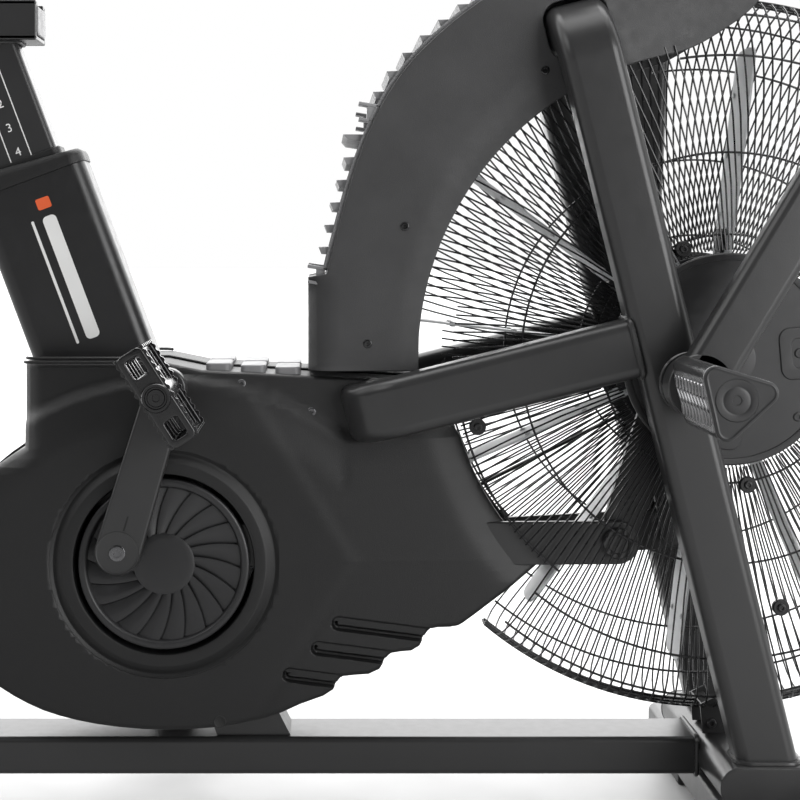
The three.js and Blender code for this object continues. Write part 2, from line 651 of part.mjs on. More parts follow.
function makeShroud(mast) {
  const elbowHole = new THREE.BoxGeometry(UPRIGHT_WIDTH + 3, 400, UPRIGHT_DEPTH + 14);
  elbowHole.rotateY(-LEAN);
  elbowHole.translate(ELBOW.x, 0, ELBOW.z - 4);
  const mastHole = extrudeAlong(roundedRect(UPRIGHT_WIDTH + 2, UPRIGHT_WIDTH + 2, 13), 300, ACROSS,
    Y_AXIS.clone().negate(), UP.clone().negate(), mast.start.clone().addScaledVector(UP, 300));
  for (const side of [RIGHT, LEFT]) {
    const { y0, y1 } = spanOf(side, SHROUD_Y - SHROUD_WALL, SHROUD_Y);
    const plate = union(plateY(shroudShape(0, SHROUD_INNER_R), y0, y1), shroudLip(side));
    addPiece(`shroud_${nameOf(side)}`, cut(plate, toSolid(elbowHole), mastHole), PLASTIC);
  }
  makeShroudRim(mastHole);
}

function makeShroudRim(mastHole) {
  const half = SHROUD_Y - SHROUD_WALL - GAP;
  const inner = shroudEdge(SHROUD_WALL + 0.2).reverse();
  let rim = plateY(polygon([...shroudEdge(0.2), ...inner]), -half, half);
  const lips = [RIGHT, LEFT].map((side) => {
    const lip = spanOf(side, SHROUD_Y - 15, SHROUD_Y);
    return plateY(shroudShape(SHROUD_WALL + 0.5, SHROUD_INNER_R + 60), lip.y0, lip.y1);
  });
  rim = cut(rim, ...lips);
  for (let a = FIRST_FIN; a <= LAST_FIN; a += FIN_PITCH) {
    const root = polar(FAN, shroudRadius(a) - 2, a);
    const tip = polar(FAN, shroudRadius(a) + FIN_LENGTH, a + 0.9);
    const heel = polar(FAN, shroudRadius(a) - 2, a + 0.5);
    rim = union(rim, plateY(polygon([root.toArray(), tip.toArray(), heel.toArray()]), -60, 60));
  }
  addPiece('shroud_louvre_rim', cut(rim, mastHole), PLASTIC);
}

// ---------------------------------------------------------------- wire cage

function ringArc(radius, y, from, to, segments) {
  const stations = [];
  for (let i = 0; i <= segments; i++) {
    const p = polar(FAN, radius, from + (to - from) * i / segments);
    stations.push(new THREE.Vector3(p.x, y, p.y));
  }
  const w = CAGE_WIRE / 2;
  return sweep(polygon([[-w, -w], [w, -w], [w, w], [-w, w]]), new Route(stations));
}

function fullRing(radius, y, segments = 16) {
  const w = CAGE_WIRE / 2;
  const profile = [[radius - w, -w], [radius + w, -w], [radius + w, w], [radius - w, w], [radius - w, -w]];
  const geometry = new THREE.LatheGeometry(profile.map(([r, h]) => new THREE.Vector2(r, h)), segments);
  geometry.translate(FAN.x, y, FAN.y);
  return toSolid(geometry);
}

function makeCage(side) {
  const y = side * CAGE_Y;
  const rimY = side * 3;
  const last = CAGE_GAP_START + 360;
  const parts = [fullRing(CAGE_RINGS[0], y), fullRing(CAGE_RINGS[1], y),
    ringArc(CAGE_RINGS[2], y, CAGE_GAP_END, last, 16), ringArc(CAGE_RIM_R, rimY, CAGE_GAP_END, last, 16)];
  for (let i = 0; i < CAGE_SPOKES; i++) {
    const angle = (i + 0.5) * 360 / CAGE_SPOKES;
    const behind = angle > CAGE_GAP_START && angle < CAGE_GAP_END;
    const covered = angle > CAGE_COVER_START ? COVER_EDGE_R - 14 : CAGE_SHROUD_REACH;
    const reach = behind ? covered : CAGE_RINGS[2] + 4;
    const corners = [polar(FAN, 117, angle), polar(FAN, reach, angle)]
      .map((p) => new THREE.Vector3(p.x, y, p.y));
    if (!behind) {
      const rim = polar(FAN, CAGE_RIM_R, angle);
      corners.push(new THREE.Vector3(rim.x, rimY, rim.y));
    }
    const w = CAGE_WIRE / 2 - 0.4;
    parts.push(sweep(polygon([[-w, -w], [w, -w], [w, w], [-w, w]]), new Route(corners)));
  }
  addPiece(`cage_${nameOf(side)}`, union(...parts), STEEL);

  const hub = spanOf(side, 86, 91);
  const cover = cut(barY(FAN, HUB_COVER_R, hub.y0, hub.y1, 32), barY(PIVOT, 29, -100, 100));
  addPiece(`hub_cover_${nameOf(side)}`, cover, PLASTIC);
}

// ---------------------------------------------------------------- fan, belt and axle

function makeFan() {
  let axle = barY(FAN, FAN_AXLE_R, -85.5, 85.5);
  for (const side of [RIGHT, LEFT]) {
    axle = union(axle, barY(FAN, 12, ...span(side, PLATE_IN + 5 + GAP, 85), 6));
  }
  addPiece('fan_axle', axle, CHROME);

  let wheel = union(barY(FAN, 26, -FAN_HALF, FAN_HALF), barY(FAN, 105, -3, 3, 20));
  for (let i = 0; i < BLADES; i++) {
    const blade = new THREE.BoxGeometry(FAN_R - BLADE_ROOT, 2 * FAN_HALF, 3);
    blade.rotateX(THREE.MathUtils.degToRad(BLADE_TWIST));
    blade.translate((FAN_R + BLADE_ROOT) / 2, 0, 0);
    blade.rotateY(-THREE.MathUtils.degToRad(i * 360 / BLADES + FIRST_BLADE));
    blade.translate(FAN.x, 0, FAN.y);
    wheel = union(wheel, toSolid(blade));
  }
  wheel = cut(wheel, barY(FAN, FAN_AXLE_R + 0.5, -60, 60));
  wheel = cut(wheel, box(-200, 700, FAN_HALF + 1, 80, 100, 900), box(-200, 700, -80, -FAN_HALF - 1, 100, 900));
  addPiece('fan_wheel', wheel, FAN_STEEL);

  const pulley = cut(barY(FAN, FAN_PULLEY_R, FAN_HALF + 1 + GAP, BELT_OUT),
    barY(FAN, FAN_AXLE_R + 0.5, 30, 60));
  addPiece('fan_pulley', pulley, CHROME);
  const crankPulley = cut(barY(CRANK, CRANK_PULLEY_R, BELT_IN, BELT_OUT, 36),
    barY(CRANK, SPINDLE_R + GAP, 30, 60));
  addPiece('crank_pulley', crankPulley, STEEL);

  const beltInner = [CRANK, CRANK_PULLEY_R + GAP, FAN, FAN_PULLEY_R + GAP];
  const belt = beltOutline(CRANK, beltInner[1] + BELT_THICKNESS, FAN, beltInner[3] + BELT_THICKNESS);
  belt.holes.push(beltOutline(...beltInner, THREE.Path));
  addPiece('drive_belt', plateY(belt, BELT_IN + 0.5, BELT_OUT - 0.5, 12), RUBBER);
}

// ---------------------------------------------------------------- cranks and pedals

function makeCrank(side) {
  const pin = side === RIGHT ? CRANK_PIN : mirrored(CRANK_PIN, CRANK);
  const pedal = side === RIGHT ? PEDAL_AXLE : mirrored(PEDAL_AXLE, CRANK);
  const throwPlate = beltOutline(CRANK, 21, pin, 14);
  const inner = cut(plateY(throwPlate, ...span(side, ARM_IN, ARM_OUT)),
    barY(CRANK, SPINDLE_R + GAP, -100, 100));
  addPiece(`inner_crank_${nameOf(side)}`, inner, STEEL);

  const disc = cut(barY(CRANK, DISC_R, ...span(side, 84, 90), 40), barY(pin, 11, -100, 100));
  addPiece(`crank_disc_${nameOf(side)}`, disc, PLASTIC);

  let arm = plateY(beltOutline(pin, 25, pedal, 21), ...span(side, CRANK_ARM_IN, CRANK_ARM_OUT));
  arm = union(arm, barY(pin, 10.5, ...span(side, LINK_OUT + GAP, CRANK_ARM_IN + 1), 20));
  arm = cut(arm, barY(pedal, 7.5, -130, 130, 16));
  addPiece(`crank_arm_${nameOf(side)}`, arm, STEEL);
  makePedal(side, pedal);
}

function makePedal(side, axle) {
  const spindle = union(barY(axle, 7, ...span(side, CRANK_ARM_IN + 3, PEDAL_OUT - 6), 16),
    barY(axle, 10, ...span(side, CRANK_ARM_OUT + GAP, PEDAL_IN - GAP - 0.2), 12));
  addPiece(`pedal_spindle_${nameOf(side)}`, spindle, CHROME);

  const half = PEDAL_LENGTH / 2;
  const thick = PEDAL_THICK / 2;
  const outline = [[-half, -thick + 6], [-half + 12, -thick], [half - 12, -thick], [half, -thick + 6],
    [half, thick - 6], [half - 12, thick], [-half + 12, thick], [-half, thick - 6]];
  const turn = (x, z) => [axle.x + x * Math.cos(PEDAL_TILT) + z * Math.sin(PEDAL_TILT),
    axle.y - x * Math.sin(PEDAL_TILT) + z * Math.cos(PEDAL_TILT)];
  let body = plateY(polygon(outline.map(([x, z]) => turn(x, z))), ...span(side, PEDAL_IN, PEDAL_OUT));
  for (const [x0, x1] of [[-half + 14, -15], [15, half - 14]]) {
    const window = polygon([turn(x0, -30), turn(x1, -30), turn(x1, 30), turn(x0, 30)]);
    body = cut(body, plateY(window, ...span(side, PEDAL_IN + 14, PEDAL_OUT - 14)));
  }
  body = cut(body, barY(axle, 7.5, ...span(side, PEDAL_IN - 5, PEDAL_OUT - 5), 16));
  addPiece(`pedal_${nameOf(side)}`, body, PLASTIC);
}

// ---------------------------------------------------------------- levers and links

const LINK_LENGTH = CRANK_PIN.distanceTo(LINK_HEAD);
const ARM_LENGTH = PIVOT.distanceTo(LINK_HEAD);

// Where the lower arm's end lies when its link bar reaches a given crank pin.
function linkHeadFor(pin) {
  const reach = PIVOT.distanceTo(pin);
  const opening = Math.acos((ARM_LENGTH ** 2 + reach ** 2 - LINK_LENGTH ** 2) / (2 * ARM_LENGTH * reach));
  const towardsPin = Math.atan2(pin.y - PIVOT.y, pin.x - PIVOT.x);
  return polar(PIVOT, ARM_LENGTH, THREE.MathUtils.radToDeg(towardsPin + opening));
}

function armAngle(head) {
  return Math.atan2(head.y - PIVOT.y, head.x - PIVOT.x);
}

function makeLever(side) {
  const pin = side === RIGHT ? CRANK_PIN : mirrored(CRANK_PIN, CRANK);
  const head = linkHeadFor(pin);
  const turned = armAngle(head) - armAngle(LINK_HEAD);
  const lean = LEVER_LEAN - turned;
  const leverPoint = (x, z, y) => new THREE.Vector3(PIVOT.x + x * Math.cos(lean) + z * Math.sin(lean), y,
    PIVOT.y - x * Math.sin(lean) + z * Math.cos(lean));
  const midY = side * (LEVER_IN + LEVER_OUT) / 2;

  const tube = sweep(hollowRect(LEVER_OUT - LEVER_IN, LEVER_WIDTH, 9),
    new Route([leverPoint(0, 20, midY), leverPoint(0, 520, midY)]));
  const boss = barY(PIVOT, 32, ...span(side, LEVER_IN, LEVER_OUT), 28);
  const round = new THREE.Shape().absarc(0, 0, LEVER_BAR_R, 0, 2 * Math.PI);
  const barRoute = filletedRoute([leverPoint(0, 480, midY), leverPoint(0, 600, midY),
    leverPoint(-150, 690, midY), leverPoint(-400, 720, midY)], 70, 3);
  const plug = sweep(roundedRect(LEVER_OUT - LEVER_IN, LEVER_WIDTH, 9),
    new Route([leverPoint(0, 470, midY), leverPoint(0, 524, midY)]));
  const drain = leverPoint(0, 60, 0);
  const lever = cut(union(tube, boss, plug, sweep(round, barRoute, 4)),
    barY(PIVOT, SLEEVE_R + GAP, -300, 300),
    barY(new THREE.Vector2(drain.x, drain.z), 4, ...span(side, LEVER_IN - 5, LEVER_IN + 10), 8));
  addPiece(`lever_${nameOf(side)}`, lever, STEEL);

  const gripStart = leverPoint(-225, 699, midY);
  const gripEnd = leverPoint(-404, 720.5, midY);
  const gripRound = new THREE.Shape().absarc(0, 0, GRIP_R, 0, 2 * Math.PI);
  const grip = sweep(gripRound, new Route([gripStart, gripEnd]), 4);
  const bore = sweep(new THREE.Shape().absarc(0, 0, LEVER_BAR_R + 0.8, 0, 2 * Math.PI),
    new Route([leverPoint(-215, 697.8, midY), leverPoint(-401, 720.12, midY)]), 4);
  addPiece(`grip_${nameOf(side)}`, cut(grip, bore), FOAM);

  const plate = plateY(beltOutline(PIVOT, 24, head, 19), ...span(side, ARM_IN, ARM_OUT));
  let arm = union(plate, barY(PIVOT, SLEEVE_R, ...span(side, ARM_IN, LEVER_OUT)),
    barY(head, 8, ...span(side, ARM_OUT - 1, LINK_OUT + 4), 12),
    barY(head, 16, ...span(side, LINK_OUT + 0.5, LINK_OUT + 5), 16));
  arm = cut(arm, barY(PIVOT, PEG_AXLE_R + 0.5, -300, 300));
  addPiece(`lower_arm_${nameOf(side)}`, arm, STEEL);

  const link = cut(plateY(beltOutline(pin, 22.5, head, 22.5), ...span(side, LINK_IN, LINK_OUT)),
    barY(head, 8.5, -200, 200, 12), barY(pin, 11, -200, 200, 12));
  addPiece(`link_bar_${nameOf(side)}`, link, STEEL);
}

function makePeg(side) {
  const corner = 11;
  const reach = 27;
  const shape = new THREE.Shape();
  for (let i = 0; i < 3; i++) {
    const angle = 133 + i * 120;
    const centre = polar(PIVOT, reach, angle);
    const from = THREE.MathUtils.degToRad(angle - 60);
    const to = THREE.MathUtils.degToRad(angle + 60);
    shape.absarc(centre.x, centre.y, corner, from, to);
  }
  shape.closePath();
  const peg = union(plateY(shape, ...span(side, PEG_IN, PEG_OUT), 5),
    barY(PIVOT, 24, ...span(side, LEVER_OUT + GAP + 0.2, PEG_IN + 1)),
    barY(PIVOT, PEG_AXLE_R, ...span(side, ARM_IN - 3, PEG_IN + 1)),
    barY(PIVOT, 13, ...span(side, FAN_HALF + 7, ARM_IN - GAP - 0.2), 6));
  addPiece(`foot_peg_${nameOf(side)}`, peg, STEEL);
}

// ---------------------------------------------------------------- console

function makeConsole(mastTop) {
  const hinge = new THREE.Vector2(mastTop.x, mastTop.z + 24);
  const slab = new THREE.BoxGeometry(34, 190, 150);
  slab.rotateY(THREE.MathUtils.degToRad(28));
  slab.translate(hinge.x + 22, 0, hinge.y + 94);
  let solid = toSolid(slab);
  for (const side of [RIGHT, LEFT]) {
    const { y0, y1 } = spanOf(side, 15, 20);
    solid = union(solid, plateY(polygon([[hinge.x - 12, hinge.y - 10], [hinge.x + 12, hinge.y - 10],
      [hinge.x + 14, hinge.y + 50], [hinge.x - 14, hinge.y + 50]]), y0, y1));
  }
  solid = union(solid, barY(hinge, 5.4, -20, 20, 16));
  addPiece('console', solid, PLASTIC);
}

// ---------------------------------------------------------------- assembly

makeBase();
makeMainFrame();
const mast = makeMast();
makeSeat();
makeShroud(mast);
makeFan();
const spindle = barY(CRANK, SPINDLE_R, -ARM_OUT, ARM_OUT);
addPiece('crank_spindle', spindle, CHROME);
for (const side of [RIGHT, LEFT]) {
  makeUpright(side);
  makeYokeArm(side);
  makeCover(side);
  makeCage(side);
  makeCrank(side);
  makeLever(side);
  makePeg(side);
}
makeConsole(mast.top);

export default bike;
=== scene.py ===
"""Air bike: the visual model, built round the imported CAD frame.

Lengths are millimetres in the part's frame (x forward, y to the left, z up) and angles are degrees.
piece() turns millimetres into metres. The saddle's padding, the lights and the camera are given in metres.
"""
import math

import bmesh
import bpy
from mathutils import Matrix, Vector, geometry


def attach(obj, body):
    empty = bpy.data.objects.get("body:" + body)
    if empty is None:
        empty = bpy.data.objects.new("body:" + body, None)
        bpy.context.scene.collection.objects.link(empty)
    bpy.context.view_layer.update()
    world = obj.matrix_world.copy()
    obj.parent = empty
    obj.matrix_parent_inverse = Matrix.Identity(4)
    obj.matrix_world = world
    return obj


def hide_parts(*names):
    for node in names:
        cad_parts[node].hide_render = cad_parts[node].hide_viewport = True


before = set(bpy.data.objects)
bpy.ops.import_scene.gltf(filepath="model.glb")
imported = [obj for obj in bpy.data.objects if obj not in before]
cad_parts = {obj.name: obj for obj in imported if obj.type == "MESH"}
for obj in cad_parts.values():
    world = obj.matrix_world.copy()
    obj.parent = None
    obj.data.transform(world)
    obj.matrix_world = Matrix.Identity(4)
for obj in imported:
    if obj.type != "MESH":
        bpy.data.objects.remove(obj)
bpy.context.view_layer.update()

MM = 0.001
SIDES = ((-1, "right"), (1, "left"))
X, Y, Z = Vector((1, 0, 0)), Vector((0, 1, 0)), Vector((0, 0, 1))

# Axes across the bike, as (x, z).
CRANK, FAN, PIVOT, WHEEL = (-281, 293), (298, 504), (247, 484), (382, 34)
# The link bar's front end, the crank arm's inner end with the link bar's rear end, and the pedal.
HEADS = {"right": (187.6, 312.5), "left": (276.85, 304.98)}
PINS = {"right": (-326, 309), "left": (-236, 277)}
PEDALS = {"right": (-276, 476), "left": (-286, 110)}
LEVER_LEANS = {"right": 31.0, "left": 2.43}

# Directions along and across the uprights, and along and across the seat tube.
LEAN = math.radians(14.1)
SEAT_LEAN = math.radians(20.5)
UP = Vector((-math.sin(LEAN), 0, math.cos(LEAN)))
ACROSS = Vector((math.cos(LEAN), 0, math.sin(LEAN)))
SEAT_UP = Vector((-math.sin(SEAT_LEAN), 0, math.cos(SEAT_LEAN)))
SEAT_FORE = Vector((math.cos(SEAT_LEAN), 0, math.sin(SEAT_LEAN)))

# Distances from the middle plane.
UPRIGHT_Y, CAGE_Y, LEVER_Y, WHEEL_Y, FOOT_Y = 115.5, 83, 180, 218, 220
FOOT_X, SADDLE_X = -647, -540
BASE_Z, RAIL_Z = 80.15, 858
ELBOW_Z, MAST_LENGTH = 846, 285


# ---------------------------------------------------------------- shapes in the x-z plane

def arc(centre, radius, start, end, steps):
    """Points on an arc, from start to end, both included."""
    angles = (math.radians(start + (end - start) * i / steps) for i in range(steps + 1))
    return [(centre[0] + radius * math.cos(a), centre[1] + radius * math.sin(a)) for a in angles]


def polar(centre, radius, degrees):
    return arc(centre, radius, degrees, degrees, 1)[0]


def bezier(p0, p1, p2, p3, steps=10):
    """Points on a cubic curve, without its first."""
    made = []
    for i in range(1, steps + 1):
        t = i / steps
        weights = ((1 - t) ** 3, 3 * t * (1 - t) ** 2, 3 * t * t * (1 - t), t ** 3)
        made.append(tuple(sum(w * p[k] for w, p in zip(weights, (p0, p1, p2, p3))) for k in (0, 1)))
    return made


def rounder(points):
    """Corner cutting on an open line, which keeps its ends."""
    made = [points[0]]
    for a, b in zip(points, points[1:]):
        made.append((a[0] * 0.75 + b[0] * 0.25, a[1] * 0.75 + b[1] * 0.25))
        made.append((a[0] * 0.25 + b[0] * 0.75, a[1] * 0.25 + b[1] * 0.75))
    return made + [points[-1]]


def belt(a, ra, b, rb):
    """The outline round two circles and the tangents between them."""
    line = math.degrees(math.atan2(b[1] - a[1], b[0] - a[0]))
    spread = math.degrees(math.acos((ra - rb) / math.dist(a, b)))
    return arc(a, ra, line + spread, line - spread + 360, 20) + arc(b, rb, line - spread, line + spread, 20)


def rounded(width, height, radius, steps=5):
    """A rectangle with round corners, centred on the origin."""
    w, h, made = width / 2 - radius, height / 2 - radius, []
    for k, (x, z) in enumerate(((w, -h), (w, h), (-w, h), (-w, -h))):
        made += arc((x, z), radius, -90 + 90 * k, 90 * k, steps)
    return made


def shifted(points, x, z, turn=0.0):
    c, s = math.cos(math.radians(turn)), math.sin(math.radians(turn))
    return [(x + px * c - pz * s, z + px * s + pz * c) for px, pz in points]


def turned_left(loop):
    """The loop, counter-clockwise."""
    area = sum(a[0] * b[1] - b[0] * a[1] for a, b in zip(loop, loop[1:] + loop[:1]))
    return loop if area > 0 else loop[::-1]


def inset(loop, by):
    """The loop moved by a distance to its left."""
    made = []
    for i, here in enumerate(loop):
        before, after = Vector(here) - Vector(loop[i - 1]), Vector(loop[(i + 1) % len(loop)]) - Vector(here)
        normals = [Vector((-d.y, d.x)).normalized() for d in (before, after) if d.length > 1e-6]
        middle = sum(normals, Vector((0, 0)))
        middle = middle.normalized() if middle.length > 1e-6 else normals[0]
        made.append(tuple(Vector(here) + middle * by / max(middle.dot(normals[0]), 0.6)))
    return made


def smooth(low, high, value):
    t = min(max((value - low) / (high - low), 0.0), 1.0)
    return t * t * (3 - 2 * t)


# ---------------------------------------------------------------- routes through space

def fillet(corners, radius, steps):
    """A line of straight runs whose corners are arcs."""
    made = [Vector(corners[0])]
    for before, here, after in zip(corners, corners[1:], corners[2:]):
        here = Vector(here)
        back, ahead = (Vector(before) - here).normalized(), (Vector(after) - here).normalized()
        half = back.angle(ahead) / 2
        start = here + back * radius / math.tan(half)
        centre = here + (back + ahead).normalized() * radius / math.sin(half)
        axis = (-back).cross(ahead).normalized()
        sweep = math.pi - 2 * half
        for i in range(steps + 1):
            made.append(centre + Matrix.Rotation(sweep * i / steps, 3, axis) @ (start - centre))
    return made + [Vector(corners[-1])]


def on_line(origin, *steps):
    """A point reached from the origin by (distance, direction) steps."""
    return sum((d * v for d, v in steps), Vector(origin))


def xz(point, y=0.0):
    return Vector((point[0], y, point[1]))


def along_upright(z, y=0.0):
    return Vector((329 + (103 - z) * math.tan(LEAN), y, z))


def on_seat(along, fore=0.0, y=0.0):
    return on_line(xz(CRANK), (along, SEAT_UP), (fore, SEAT_FORE), (y, Y))


def facing(point, y, side):
    """A frame whose z points outwards across the bike."""
    return Matrix(((1, 0, 0, point[0]), (0, 0, side, y), (0, 1, 0, point[1]), (0, 0, 0, 1)))


def aimed(origin, direction):
    return Matrix.Translation(Vector(origin)) @ Vector(direction).to_track_quat("Z", "Y").to_matrix().to_4x4()


# ---------------------------------------------------------------- mesh building

class Build:
    """Gathers the surfaces of one piece."""

    def __init__(self):
        self.verts, self.faces = [], []

    def add(self, verts, faces):
        base = len(self.verts)
        self.verts += [Vector(v) for v in verts]
        self.faces += [[base + i for i in face] for face in faces]
        return self

    def skin(self, rows, wrap_rows=False, wrap_columns=True, caps=False):
        n, m = len(rows), len(rows[0])
        faces = [(i * m + j, i * m + (j + 1) % m, (i + 1) % n * m + (j + 1) % m, (i + 1) % n * m + j)
                 for i in range(n if wrap_rows else n - 1) for j in range(m if wrap_columns else m - 1)]
        if caps:
            faces += [range(m), range((n - 1) * m, n * m)]
        return self.add([p for row in rows for p in row], faces)

    def bar(self, path, normal, width, height, radius, ends=(0, 0), steps=5):
        """A rounded bar along a path. Its height lies along normal, and ends says how round its ends are."""
        path = [Vector(p) for p in path]
        runs = [(b - a).normalized() for a, b in zip(path, path[1:])]
        tangents = [runs[0]] + [(a + b).normalized() for a, b in zip(runs, runs[1:])] + [runs[-1]]
        quarter = [math.radians(a) for a in (0, 30, 60, 90)]
        first = [(path[0] + runs[0] * ends[0] * (1 - math.cos(a)), runs[0], ends[0] * (1 - math.sin(a)))
                 for a in quarter] if ends[0] else [(path[0], runs[0], 0)]
        last = [(path[-1] - runs[-1] * ends[1] * (1 - math.cos(a)), runs[-1], ends[1] * (1 - math.sin(a)))
                for a in quarter[::-1]] if ends[1] else [(path[-1], runs[-1], 0)]
        middle = [(at, tangent, 0) for at, tangent in list(zip(path, tangents))[1:-1]]
        rows = []
        for at, tangent, less in first + middle + last:
            side = tangent.cross(normal).normalized()
            up = side.cross(tangent).normalized()
            section = rounded(width - 2 * less, height - 2 * less, max(radius - less, 0.4), steps)
            rows.append([at + side * u + up * v for u, v in section])
        return self.skin(rows, caps=True)

    def wire(self, path, radius, sides=6, closed=False, ripple=0.0):
        """A round wire along a path."""
        path = [Vector(p) for p in path]
        n, rows, normal = len(path), [], None
        for i, at in enumerate(path):
            before = path[i - 1] if i or closed else at
            after = path[(i + 1) % n] if i < n - 1 or closed else at
            t = (after - before).normalized()
            if normal is None:
                normal = t.cross(Y if abs(t.y) < 0.9 else X).normalized()
            normal = (normal - t * normal.dot(t)).normalized()
            other = t.cross(normal)
            r = radius * (1 + ripple * (i % 2))
            rows.append([at + (normal * math.cos(a) + other * math.sin(a)) * r
                         for a in (2 * math.pi * k / sides for k in range(sides))])
        return self.skin(rows, wrap_rows=closed, caps=not closed)

    def lathe(self, profile, place, segments=48, closed=False):
        """A profile of (radius, height) turned about the z axis of place."""
        rows = []
        for k in range(segments):
            a = math.radians(360 * k / segments)
            rows.append([place @ Vector((r * math.cos(a), r * math.sin(a), h)) for r, h in profile])
        return self.skin(rows, wrap_rows=True, wrap_columns=closed)

    def plate(self, outline, y0, y1, bevel=1.0, holes=()):
        """A plate between two values of y, with rounded edges and holes."""
        sign = 1 if y1 > y0 else -1
        loops = [turned_left(list(outline))] + [turned_left(list(h))[::-1] for h in holes]
        turn = ((1.0, 0.0), (0.5, 0.134), (0.134, 0.5), (0.0, 1.0))
        steps = [(bevel * i, y0 + sign * bevel * d) for i, d in turn]
        steps += [(bevel * i, y1 - sign * bevel * d) for i, d in turn[::-1]]
        caps = []
        for loop in loops:
            rows = [[Vector((x, y, z)) for x, z in inset(loop, by)] for by, y in steps]
            self.skin(rows)
            caps.append((rows[0], rows[-1]))
        for rings in zip(*caps):
            flat = [[Vector((p.x, p.z, 0)) for p in ring] for ring in rings]
            self.add([p for ring in rings for p in ring], geometry.tessellate_polygon(flat))
        return self

    def box(self, low, high, bevel=1.0):
        """A block with rounded edges."""
        (x0, y0, z0), (x1, y1, z1) = low, high
        path = [((x0 + x1) / 2, y0, (z0 + z1) / 2), ((x0 + x1) / 2, y1, (z0 + z1) / 2)]
        return self.bar(path, Z, x1 - x0, z1 - z0, bevel, (bevel * 0.9, bevel * 0.9), 3)

    def bolt(self, place, radius, height, recess=0.5):
        """A round head with a socket, standing on z = 0 of place."""
        r, well = radius, radius * recess
        profile = [(0, height * 0.3), (well, height * 0.3), (well, height * 0.92), (well + 0.3, height),
                   (r * 0.8, height), (r * 0.94, height * 0.85), (r, height * 0.6), (r, -1.5), (0, -1.5)]
        return self.lathe(profile, place, 24)

    def weld(self, loop, radius):
        """A weld bead with fine ripples."""
        points = [Vector(p) for p in loop]
        fine = []
        for a, b in zip(points, points[1:] + points[:1]):
            n = max(int((b - a).length / 2.2), 1)
            fine += [a.lerp(b, i / n) for i in range(n)]
        if len(fine) % 2:
            fine.pop()
        return self.wire(fine, radius, 7, True, 0.22)

    def mirrored(self):
        """The same shape on the other side of the bike."""
        made = Build()
        made.verts = [Vector((v.x, -v.y, v.z)) for v in self.verts]
        made.faces = [list(f)[::-1] for f in self.faces]
        return made


def piece(name, build, body, material, replaces=(), sharp=38, edit=None, modifiers=()):
    """Makes a Blender object out of a Build, and ties it to the frame."""
    mesh = bpy.data.meshes.new(name)
    mesh.from_pydata([v * MM for v in build.verts], [], [list(f) for f in build.faces])
    bm = bmesh.new()
    bm.from_mesh(mesh)
    bmesh.ops.remove_doubles(bm, verts=bm.verts, dist=2e-6)
    bmesh.ops.dissolve_degenerate(bm, edges=bm.edges, dist=1e-7)
    if edit:
        edit(bm)
    bmesh.ops.recalc_face_normals(bm, faces=bm.faces)
    bm.to_mesh(mesh)
    bm.free()
    obj = bpy.data.objects.new(name, mesh)
    bpy.context.scene.collection.objects.link(obj)
    mesh.materials.append(material)
    mesh.shade_smooth()
    mesh.set_sharp_from_angle(angle=math.radians(sharp))
    for kind, values in modifiers:
        modifier = obj.modifiers.new(kind.lower(), kind)
        for key, value in values.items():
            setattr(modifier, key, value)
    weighted = obj.modifiers.new("weighted", "WEIGHTED_NORMAL")
    weighted.keep_sharp = True
    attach(obj, body)
    if replaces:
        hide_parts(*replaces)
    return obj


def slice_mesh(bm, point, normal, faces=None):
    """Cuts a mesh, or only some of its faces, along a plane."""
    if faces is None:
        geom = [*bm.verts, *bm.edges, *bm.faces]
    else:
        geom = list({g for f in faces for g in (*f.verts, *f.edges, f)})
    bmesh.ops.bisect_plane(bm, geom=geom, dist=1e-7, plane_co=Vector(point) * MM, plane_no=normal)


# ---------------------------------------------------------------- materials

def set_inputs(tree, node, inputs):
    """Gives each input its value, or links it to a socket."""
    for key, value in inputs.items():
        if isinstance(value, bpy.types.NodeSocket):
            tree.links.new(value, node.inputs[key])
        else:
            node.inputs[key].default_value = value


def add_node(tree, kind, inputs, **properties):
    """A new node. Its properties come first, because they decide which inputs it has."""
    node = tree.nodes.new(kind)
    for key, value in properties.items():
        setattr(node, key, value)
    set_inputs(tree, node, inputs)
    return node


